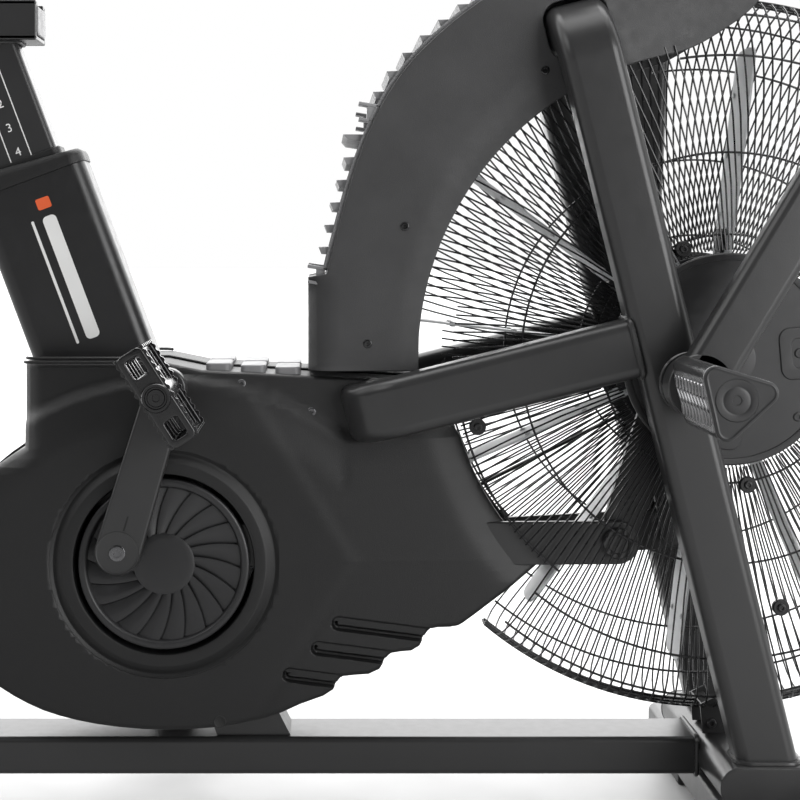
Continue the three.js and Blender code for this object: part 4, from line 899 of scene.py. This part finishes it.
def make_shroud():
    outline = shroud_outline()
    elbow = along_upright(ELBOW_Z)
    opening = shifted(rounded(66, 60, 18, 6), elbow.x, elbow.z - 3, math.degrees(LEAN))
    for side, word in SIDES:
        panel = Build().plate(outline, side * 86, side * 89, 1.4, [opening])

        def shape(bm, side=side):
            for x in range(-132, 380, 8):
                slice_mesh(bm, (x, 0, 0), X)
            for z in range(492, 952, 8):
                slice_mesh(bm, (0, 0, z), Z)
            for v in bm.verts:
                v.co.y += side * MM * (shroud_height(v.co.x / MM, v.co.z / MM) - 89)
        piece("shroud_panel_" + word, panel, "frame", SHROUD, ["shroud_" + word], 40, shape)
        screws = Build()
        for x, z in ((109, 799), (-34, 640), (-72, 520)):
            screws.bolt(facing((x, z), side * (shroud_height(x, z) - 0.3), side), 4.6, 1.6, 0.42)
        piece("shroud_screws_" + word, screws, "frame", GLOSS)

    rim = Build()
    edge = [polar(FAN, shroud_radius(80 + 1.6 * k), 80 + 1.6 * k) for k in range(56)]
    edge += [(-133, 587), (-133, 492)]
    rows = []
    for x, z in edge:
        half = shroud_height(x, z) - 3.6
        inwards = (Vector(FAN) - Vector((x, z))).normalized() if z > 588 else Vector((1, 0))
        near, deep = Vector((x, z)) + inwards * 0.4, Vector((x, z)) + inwards * 3.2
        rows.append([xz(near, -half), xz(near, half), xz(deep, half), xz(deep, -half)])
    rim.skin(rows, caps=True)
    piece("shroud_rim", rim, "frame", SHROUD, ["shroud_louvre_rim"])

    fins = Build()
    for k in range(15):
        a = 164.7 - 3.2 * k
        if abs(a - 145) < 2.5:
            continue
        x, z = polar(FAN, shroud_radius(a), a)
        reach, drop = (23, 1.5) if k == 5 else (14, 4.5)
        profile = [(x + 6, z - 4.5), (x + 6, z + 4.5), (x - reach, z + 5 - drop * 0.3),
                   (x - reach * 0.8, z + 1 - drop)]
        half = 80 - 3 * (k % 2)
        fins.plate(profile, -half, half, 0.5)
    piece("shroud_louvres", fins, "frame", GUARD)

    clips = Build()
    for a in (145.0, 168.3):
        x, z = polar(FAN, shroud_radius(a), a)
        for side, _ in SIDES:
            for rise in (8, -8):
                path = [(x + 6, side * 73, z + rise - 2), (x - 19, side * 73, z + rise + 2)]
                clips.bar(path, Y, 3.6, 22, 1.2, (0.8, 0.8), 3)
            clips.bar([(x - 6, side * 73, z - 9), (x - 6, side * 73, z + 8)], Y, 9, 20, 1.2, (0.8, 0.8), 3)
    lip_angles = [118 + 1.5 * k for k in range(34)]
    for j in range(21):
        clips.wire([xz(polar(FAN, shroud_radius(a) + 0.6, a), 8 * j - 80) for a in lip_angles], 0.8, 5)
    for side, _ in SIDES:
        rows = []
        for a in lip_angles:
            low, high = polar(FAN, shroud_radius(a) + 0.3, a), polar(FAN, shroud_radius(a) + 4.2, a)
            corners = [xz(low, side * 80), xz(high, side * 80), xz(high, side * 84), xz(low, side * 84)]
            rows.append(corners[::side])
        clips.skin(rows, caps=True)
        for k in range(110):
            a = 118 + 0.45 * k
            clips.bolt(facing(polar(FAN, shroud_radius(a) + 2.4, a), side * 84, side), 0.8, 0.9, 0.2)
    piece("shroud_grille", clips, "frame", GUARD)


# ---------------------------------------------------------------- cage and fan

def make_cage():
    wires, slant = 200, 6.0
    dome = ((112, 83), (180, 83), (250, 82.4), (290, 79.5), (312, 76), (330, 70.5), (345, 63), (357, 54),
            (367, 42), (374, 27), (377.3, 12), (377.5, 5))
    behind_cover = ((112, 83), (180, 83), (235, 82.4), (282.5, 79.6))
    under_shroud = ((112, 83), (180, 83), (250, 82.4), (290, 82), (326, 81))
    for side, word in SIDES:
        cage = Build()
        for i in range(wires):
            base = 360 * (i + 0.5 * (side > 0)) / wires
            profile = dome
            if 100 < base < 231:
                profile = under_shroud if base < 171 else behind_cover
            path = [(polar(FAN, r, base + side * slant * (366 - r) / 254), y) for r, y in profile]
            cage.wire([xz(point, side * y) for point, y in path], 1.0, 5)
        for r in (128, 212):
            cage.wire([xz(p, side * (CAGE_Y - 1.2)) for p in arc(FAN, r, 0, 357, 119)], 1.15, 6, True)
        cage.wire([xz(p, side * 78.8) for p in arc(FAN, 279, 182, 232, 20)], 1.25, 6)
        for r, y in ((312, 74.8), (357, 53)):
            cage.wire([xz(p, side * y) for p in arc(FAN, r, 231, 459, 118)], 1.25, 6)
        for r, y in ((377.6, 3.2), (375.6, 7.6), (377.4, 11.6)):
            cage.wire([xz(p, side * y) for p in arc(FAN, r, 230, 460, 128)], 1.5, 7)
        for r, angle in ((131, -80.8), (122, 112.5), (266, 195.2), (262, -77.7), (262, 40), (262, -20)):
            place = facing(polar(FAN, r, angle), side * 80, side)
            cage.lathe([(0, 0), (8, 0), (8.6, 1), (8.6, 6.2), (7.6, 7.2), (0, 7.2)], place, 28)
            cage.bolt(place @ Matrix.Translation((0, 0, 7.2)), 4.2, 2.2, 0.5)
        piece("cage_wires_" + word, cage, "frame", WIRE, ["cage_" + word])

        hub = Build()
        place = facing(FAN, 0, side)
        pivot_hole = arc(PIVOT, 29, 0, 350, 35)
        hub.plate(arc(FAN, 109, 0, 356, 89), side * 86, side * 89.4, 1.2, [pivot_hole])
        hub.lathe([(101, 88), (102, 90.6), (104, 91), (107.5, 91), (109, 89.6), (109, 86.5), (101, 86.5)],
                  place, 96, True)
        for a in (5, 260):
            pad = shifted(rounded(54, 40, 12), *polar(FAN, 72, a), a + 90)
            slot = shifted(rounded(30, 14, 6), *polar(FAN, 72, a), a + 90)
            hub.plate(pad, side * 88, side * 90.8, 1.2, [slot])
            hub.bolt(facing(polar(FAN, 72, a), side * 89.2, side), 5, 1.8)
        for a in (80, 320):
            hub.bolt(facing(polar(FAN, 92, a), side * 89.2, side), 4.5, 1.6)
        hub.lathe([(0, 90.9), (10, 90.9), (14, 90.4), (26, 90.4), (28, 89), (28, 87), (0, 87)], place, 60)
        piece("hub_cap_" + word, hub, "frame", DISC, ["hub_cover_" + word])

    bracket = Build()
    for side, _ in SIDES:
        bracket.plate([(287, 101), (318, 101), (300, 140), (284, 132)], side * 24, side * 27, 0.6)
    bracket.bar([(292, -26, 130), (292, 26, 130)], Z, 14, 6, 1.2, (0.8, 0.8))
    for side, _ in SIDES:
        bracket.bolt(facing((296, 112), side * 27, side), 5, 4)
    piece("cage_bracket", bracket, "frame", STEEL)


def make_fan():
    blades, hub = Build(), Build()
    outline = [(62, -30), (62, 30), (120, 38.5), (300, 38.5), (322, 36), (329, 24), (329, -24), (322, -36),
               (300, -38.5), (120, -38.5)]
    outline = rounder(outline + outline[:1])
    centre = xz(FAN)
    for i in range(12):
        a = math.radians(30 * i + 23.3)
        radial = Vector((math.cos(a), 0, math.sin(a)))
        twist = Matrix.Rotation(math.radians(1), 3, radial)
        wide, normal = twist @ Y, twist @ radial.cross(Y)
        top = [centre + radial * r + wide * w + normal * 1.1 for r, w in outline]
        low = [p - normal * 2.2 for p in top]
        blades.skin([low, top], caps=True)
        for r in (105, 150, 215, 280):
            for w in (-26, 26):
                for way in (1, -1):
                    at = centre + radial * r + wide * w + normal * way * 1.1
                    blades.bolt(aimed(at, normal * way), 3, 1.6, 0.4)
        arm = [centre + radial * r + normal * 3.4 for r in (40, 135)]
        hub.bar(arm, wide, 4, 26, 1.2, (1, 1), 3)
    place = facing(FAN, 0, 1)
    hub.lathe([(9, -40), (24, -40), (26, -38), (26, -6), (30, -3), (103, -3), (105, -1.5), (105, 1.5),
               (103, 3), (30, 3), (26, 6), (26, 38), (24, 40), (9, 40)], place, 72, True)
    for k in range(12):
        for way in (-1, 1):
            hub.bolt(facing(polar(FAN, 88, 30 * k + 38.3), way * 3, way), 5, 3.5)
    piece("fan_blades", blades, "fan", BLADE, ["fan_wheel"])
    piece("fan_hub", hub, "fan", BLADE_DARK)


# ---------------------------------------------------------------- cranks and pedals

def make_cranks():
    for side, word in SIDES:
        pin, pedal = PINS[word], PEDALS[word]
        place = facing(CRANK, 0, side)
        disc = Build()
        disc.lathe([(78, 82.5), (79, 86.5), (80.5, 88.6), (82, 89.2), (85, 89.4), (87, 88.8), (88, 87.4),
                    (88, 81), (78, 81)], place, 120, True)
        disc.lathe([(0, 86.4), (24, 86.4), (29, 86), (31.5, 85.2), (32, 83.5), (32, 80.5), (0, 80.5)],
                   place, 72)
        lean = math.degrees(math.atan2(pin[1] - CRANK[1], pin[0] - CRANK[0]))
        vanes = 20
        for k in range(vanes):
            start = 360 * k / vanes + (6 if side < 0 else -6)
            if abs((start - lean + 180) % 360 - 180) < 14:
                continue
            rows = []
            for i in range(9):
                r = 30 + 49.5 * i / 8
                swirl = side * 18 * ((r - 30) / 49) ** 0.8
                row = []
                for j in range(5):
                    t = j / 4
                    a = math.radians(start + swirl + side * (16.6 * t - 8.3))
                    h = 85.9 - 3.4 * t ** 1.6 - 0.8 * (1 - t) ** 4
                    row.append((r * math.cos(a), r * math.sin(a), h))
                rows.append([place @ Vector((x, z, h)) for x, z, h in row] +
                            [place @ Vector((x, z, h - 1.6)) for x, z, h in row[::-1]])
            disc.skin(rows, caps=True)
        disc.lathe([(28, 79.5), (80, 79.5), (80, 80.8), (28, 80.8)], place, 96, True)
        piece("crank_dish_" + word, disc, "crank", DISC, ["crank_disc_" + word])

        arm = Build()
        place = facing(pin, 0, side)
        arm.plate(belt(pin, 23.5, pedal, 20.5), side * 95, side * 113.5, 3.2)
        arm.lathe([(0, 113.6), (19.8, 113.6), (20.6, 114.2), (21.8, 114.4), (22.2, 113.8), (22.2, 113),
                   (0, 113)], place, 64)
        arm.lathe([(0, 74.5), (10.4, 74.5), (10.4, 96), (0, 96)], place, 32)
        piece("crank_blade_" + word, arm, "crank", STEEL, ["crank_arm_" + word])
        # A thin dark strip on the arm's face: painted shade standing in for the gap of the slit.
        slit_shade = Build()
        direction = (Vector(pedal) - Vector(pin)).normalized()
        low, high = Vector(pin) + direction * 23.5, Vector(pin) + direction * 39
        slit_shade.bar([xz(low, side * 113.55), xz(high, side * 113.55)], Y, 1.5, 0.3, 0.1)
        piece("crank_slit_shade_" + word, slit_shade, "crank", BELT_MAT)
        bolt = Build()
        bolt.bolt(facing(pin, side * 114, side), 8.2, 0.98, 0.48)
        piece("crank_bolt_" + word, bolt, "crank", ALLOY)

        spindle = Build()
        place = facing(pedal, 0, side)
        spindle.lathe([(0, 98), (6.9, 98), (6.9, 219), (0, 219)], place, 32)
        spindle.lathe([(0, 115.4), (10, 115.4), (10, 123.4), (0, 123.4)], place, 6)
        piece("pedal_axle_" + word, spindle, "crank", CHROME, ["pedal_spindle_" + word])
        make_pedal(side, word, pedal)


def make_pedal(side, word, axle):
    """A caged platform pedal, tipped nose down."""
    body, cage = Build(), Build()
    place = facing(axle, 0, side)
    tilt, half, thick = -57.0, 51, 16.5

    def local(points):
        return shifted(points, axle[0], axle[1], tilt)

    hole = local(arc((0, 0), 7.6, 0, 345, 23))
    windows = [local(shifted(rounded(20, 15, 3, 3), x, 0)) for x in (-34, 34)]
    outline = local(rounded(2 * half, 2 * thick - 5, 7, 5))
    for y0, y1, holes in ((124.2, 131, [hole] + windows), (214.5, 221, windows)):
        body.plate(outline, side * y0, side * y1, 1.4, holes)
    body.lathe([(7.4, 130), (13, 130), (15, 133), (15, 215), (13, 219), (7.4, 219)], place, 40, True)
    body.lathe([(0, 222.6), (3.4, 222.6), (3.8, 224.6), (8.0, 224.6), (8.8, 223), (10.2, 223), (11, 224.9),
                (13.2, 224.9), (14.4, 223.6), (14.8, 219), (0, 219)], place, 48)
    for x in (-45, -22, 22, 45):
        for z in (-9, 9):
            at = local([(x, z)])[0]
            direction = xz(local([(x + 1, z)])[0]) - xz(at)
            body.bar([xz(at, side * 128), xz(at, side * 220)], direction, 5.0, 6.0, 1.4, (0, 0), 3)
    outline = local(rounded(2 * half - 8, 2 * thick - 9, 6, 3))
    windows = [local(shifted(rounded(22, 14, 3, 3), x, 0)) for x in (-32, 32)]
    for y in (150, 174, 198):
        body.plate(outline, side * (y - 2), side * (y + 2), 0.8, [hole] + windows)
    piece("pedal_body_" + word, body, "pedal_" + word, GLOSS, ["pedal_" + word])
    for z in (-1, 1):
        teeth = [(-half + 1, 12.6), (-half + 1, 15.4)]
        for k in range(12):
            x = -half + 5 + k * 8
            teeth += [(x, 15.2), (x + 2, 16.9), (x + 4, 16.9), (x + 6, 15.2)]
        teeth += [(half - 1, 15.4), (half - 1, 12.6)]
        outline = local([(x, z * h) for x, h in teeth])
        for y0, y1 in ((126, 129.5), (215.5, 219.5)):
            cage.plate(outline, side * y0, side * y1, 0.4)
    for x in (-1, 1):
        low, at, top = [local([(x * (half - 2.6), z)])[0] for z in (-16.4, 0, 16.4)]
        for k in range(7):
            y = side * (132 + 14 * k)
            cage.bar([xz(low, y), xz(at, y), xz(top, y)], Y, 3.4, 6, 1.2, (1, 1), 3)
    piece("pedal_cage_" + word, cage, "pedal_" + word, GLOSS)


# ---------------------------------------------------------------- levers, links, pegs, console

def make_levers():
    for side, word in SIDES:
        lean, head, pin = math.radians(LEVER_LEANS[word]), HEADS[word], PINS[word]
        up = Vector((math.sin(lean), 0, math.cos(lean)))
        fore = Vector((math.cos(lean), 0, -math.sin(lean)))
        axis = facing(PIVOT, 0, side)

        def at(x, z, side=side, fore=fore, up=up):
            return xz(PIVOT, side * LEVER_Y) + fore * x + up * z

        lever = Build().bar([at(0, 20), at(0, 520)], fore, 30, 50, 9, (0, 3), 6)
        lever.lathe([(15.5, 165), (31, 165), (32, 166), (32, 194), (31, 195), (15.5, 195)], axis, 64, True)
        route = fillet([at(0, 505), at(0, 600), at(-150, 690), at(-400, 720)], 70, 12)
        lever.wire(route, 16, 28)
        lever.lathe([(16, 0), (17.6, 1), (18.4, 4), (16, 7)], aimed(at(0, 518), up), 40)
        piece("lever_tube_" + word, lever, "lever_" + word, STEEL, ["lever_" + word])

        grip = Build()
        start, end = at(-225, 699), at(-404, 720.5)
        length = (end - start).length
        profile = [(16.3, 0), (19, 0), (20, 1.5)]
        for k in range(24):
            z = 5 + (length - 12) * k / 23
            profile += [(20, z - 2.4), (19.0, z - 1.0), (19.0, z + 1.0), (20, z + 2.4)]
        profile += [(20, length - 2), (18.5, length - 0.4), (0, length)]
        grip.lathe(profile, aimed(start, (end - start).normalized()), 36)
        piece("grip_foam_" + word, grip, "lever_" + word, FOAM, ["grip_" + word])

        arm = Build()
        arm.plate(belt(PIVOT, 24, head, 19), side * 54, side * 64, 1.4, [arc(PIVOT, 9.6, 0, 345, 23)])
        arm.lathe([(9.6, 54), (15, 54), (15, 195), (9.6, 195)], axis, 40, True)
        arm.lathe([(0, 63), (8, 63), (8, 74.5), (15, 74.5), (16, 75.5), (16, 78), (15, 79), (11, 79),
                   (10, 78), (0, 78)], facing(head, 0, side), 40)
        piece("rocker_arm_" + word, arm, "lever_" + word, STEEL, ["lower_arm_" + word])
        link = Build()
        link.plate(belt(pin, 22.5, head, 22.5), side * 65, side * 73.2, 1.6,
                   [arc(head, 8.6, 0, 345, 23), arc(pin, 11, 0, 345, 23)])
        link.lathe([(13, 73), (13.3, 73.9), (15.6, 73.9), (16, 73)], facing(head, 0, side), 48, True)
        link.lathe([(12, 73), (12.3, 73.9), (16.6, 73.9), (17, 73)], facing(pin, 0, side), 48, True)
        piece("link_rod_" + word, link, "link_" + word, STEEL, ["link_bar_" + word])

        peg = Build()
        outline = []
        for corner_angle in (133, 253, 373):
            corner = polar(PIVOT, 27, corner_angle)
            outline += arc(corner, 11, corner_angle - 60, corner_angle + 60, 10)
        peg.plate(outline, side * 200, side * 334, 1.6)
        peg.lathe([(0, 195.4), (23.4, 195.4), (24, 196), (24, 201), (0, 201)], axis, 48)
        peg.lathe([(0, 51), (9, 51), (9, 201), (0, 201)], axis, 32)
        peg.lathe([(0, 47), (12.5, 47), (13, 48), (13, 53.5), (0, 53.5)], axis, 6)
        for a in (math.radians(193), math.radians(313)):
            out = Vector((math.cos(a), 0, math.sin(a)))
            tangent = Vector((-math.sin(a), 0, math.cos(a)))
            face = xz(PIVOT) + out * 24.2
            for k in range(9):
                middle = side * (208 + 14 * k)
                ridge = []
                for u in range(-19, 20, 2):
                    ridge.append(face + tangent * u + Y * (middle + side * 3.5 * math.sin(u / 5)))
                peg.bar(ridge, out, 5, 3.6, 1.6, (1.4, 1.4), 3)
        piece("foot_peg_body_" + word, peg, "frame", PEG, ["foot_peg_" + word])
        cap = Build()
        cap.lathe([(0, 336.4), (4, 336.4), (4.4, 337.4), (10, 337.6), (11.4, 336.8), (13, 336.8), (14, 337.5),
                   (18.6, 337.5), (19.6, 336.4), (21, 336.4), (21.4, 335.5), (0, 335.5)], axis, 64)
        rows = [[Vector((x, side * y, z)) for x, z in inset(turned_left(list(outline)), by)]
                for by, y in ((0.2, 334), (0.2, 336), (1.2, 337.2), (2.6, 337.6), (4.5, 336.6))]
        cap.skin(rows, caps=True)
        piece("foot_peg_cap_" + word, cap, "frame", DISC)


def make_console():
    hinge = on_line(along_upright(ELBOW_Z), (MAST_LENGTH, UP)) + Vector((0, 0, 24))
    turn = Matrix.Rotation(math.radians(28), 3, "Y")
    centre = Vector((hinge.x + 22, 0, hinge.z + 94))
    def local(x, y, z):
        return centre + turn @ Vector((x, y, z))

    shell = Build()
    shell.bar([local(-17, 0, 0), local(17, 0, 0)], turn @ Z, 190, 150, 22, (6, 9), 8)
    for side, _ in SIDES:
        shell.plate([(hinge.x - 12, hinge.z - 10), (hinge.x + 12, hinge.z - 10), (hinge.x + 14, hinge.z + 48),
                     (hinge.x - 14, hinge.z + 48)], side * 15, side * 20, 1)
        shell.bolt(facing((hinge.x, hinge.z), side * 20, side), 9, 5)
    piece("console_shell", shell, "console", PLASTIC, ["console"])
    front = Build()
    front.bar([local(-15.8, 0, 14), local(-17.3, 0, 14)], turn @ Z, 150, 84, 6, (0, 0.4), 5)
    piece("console_screen", front, "console", SCREEN)
    buttons = Build()
    for k in range(5):
        y = -60 + 30 * k
        buttons.bar([local(-15.5, y, -52), local(-19.0, y, -52)], turn @ Z, 22, 14, 5, (0, 1.4), 5)
    piece("console_buttons", buttons, "console", RUBBER)
    digits = Build()
    strokes = ((0, 11, 9, 2), (0, 0, 9, 2), (0, -11, 9, 2), (-6, 5.5, 2, 8), (6, 5.5, 2, 8), (6, -5.5, 2, 8))
    for row in range(2):
        for k in range(4):
            for u, v, w, h in strokes:
                y, z = 35 * k - 52 + u, 30 - 32 * row + v
                digits.bar([local(-17.2, y, z), local(-17.5, y, z)], turn @ Z, w, h, 0.6, (0, 0), 2)
    piece("console_segments", digits, "console", PALE)


# ---------------------------------------------------------------- floor, light and camera

def floor_finish():
    """A pale floor with painted light: its colour brightens towards +y, a painted fade that is darker near
    the camera, and it lights the bike less than the camera sees it.
    """
    material = finish("floor_pale_painted_fade", (0.9, 0.9, 0.9), 0.5, grain=0.02, scale=40, mottle=0.01, patch=2)
    tree = material.node_tree
    shader = tree.nodes["Principled BSDF"]
    place = tree.nodes.new("ShaderNodeTexCoord").outputs["Object"]
    # Painted light: the colour fades from 0.5 near the camera to 1.0 towards +y, a painted fade of how the
    # floor is lit.
    split = add_node(tree, "ShaderNodeSeparateXYZ", {0: place})
    slant = add_node(tree, "ShaderNodeMath", {0: split.outputs["X"], 1: 0.25, 2: split.outputs["Y"]},
                     operation="MULTIPLY_ADD")
    depth = add_node(tree, "ShaderNodeMapRange",
                     {"Value": slant.outputs[0], "From Min": -0.1, "From Max": 1.6, "To Min": 0.50,
                      "To Max": 1.0}, interpolation_type="SMOOTHSTEP")
    # Painted light: camera rays see that fade, while light bouncing off the floor sees a flat 0.42.
    seen = tree.nodes.new("ShaderNodeLightPath").outputs["Is Camera Ray"]
    painted_floor_light = add_node(tree, "ShaderNodeMix", {"Factor": seen, "A": 0.42, "B": depth.outputs["Result"]})
    mottled = shader.inputs["Base Color"].links[0].from_socket
    shade = add_node(tree, "ShaderNodeMix", {"Factor": 1.0, "A": mottled, "B": painted_floor_light.outputs["Result"]},
                     data_type="RGBA", blend_type="MULTIPLY")
    set_inputs(tree, shader, {"Base Color": shade.outputs["Result"]})
    return material


def make_studio():
    scene = bpy.context.scene
    scene.view_settings.view_transform = "Standard"
    mesh = bpy.data.meshes.new("floor")
    size = 40.0
    corners = [(-size, -size, 0), (size, -size, 0), (size, size, 0), (-size, size, 0)]
    mesh.from_pydata(corners, [], [(0, 1, 2, 3)])
    floor = bpy.data.objects.new("floor", mesh)
    floor.location.z = -0.0005
    scene.collection.objects.link(floor)
    mesh.materials.append(floor_finish())

    world = bpy.data.worlds.new("studio")
    scene.world = world
    world.use_nodes = True
    tree = world.node_tree
    direction = tree.nodes.new("ShaderNodeTexCoord").outputs["Generated"]
    split = add_node(tree, "ShaderNodeSeparateXYZ", {0: direction})
    behind = add_node(tree, "ShaderNodeMapRange",
                      {"Value": split.outputs["Y"], "From Min": -0.5, "From Max": 0.55, "To Min": 0.03,
                       "To Max": 3.0}, interpolation_type="SMOOTHSTEP")
    seen = tree.nodes.new("ShaderNodeLightPath").outputs["Is Camera Ray"]
    mix = add_node(tree, "ShaderNodeMix", {"Factor": seen, "A": behind.outputs["Result"], "B": 1.0},
                   data_type="FLOAT")
    set_inputs(tree, tree.nodes["Background"], {"Color": (1, 1, 1, 1), "Strength": mix.outputs["Result"]})

    for name, at, target, size, power in (
            ("key", (-2.0, -1.5, 2.2), (-0.1, 0, 0.5), 1.4, 14),
            ("top", (0.0, 0.2, 3.2), (0, 0, 0.3), 3.0, 60),
            ("side", (1.9, -2.1, 1.1), (0.1, 0, 0.5), 1.8, 58)):
        light = bpy.data.lights.new(name, "AREA")
        light.shape, light.size, light.size_y = "RECTANGLE", size, size
        light.energy = power
        holder = bpy.data.objects.new(name, light)
        holder.location = at
        holder.rotation_euler = (Vector(target) - Vector(at)).to_track_quat("-Z", "Y").to_euler()
        scene.collection.objects.link(holder)

    camera = bpy.data.cameras.new("camera")
    camera.sensor_width, camera.lens = 36.0, 78.29
    camera.shift_x, camera.shift_y = 0.1, -0.14
    camera.clip_end = 200
    holder = bpy.data.objects.new("camera", camera)
    holder.location = (-0.1206, -1.8669, 0.6222)
    holder.rotation_euler = (math.radians(90 - 1.458), 0, 0)
    scene.collection.objects.link(holder)
    scene.camera = holder


make_studio()
make_base()
make_welded_frame()
make_seat()
make_saddle()
make_covers()
make_shroud()
make_cage()
make_fan()
make_cranks()
make_levers()
make_console()

bpy.context.view_layer.update()
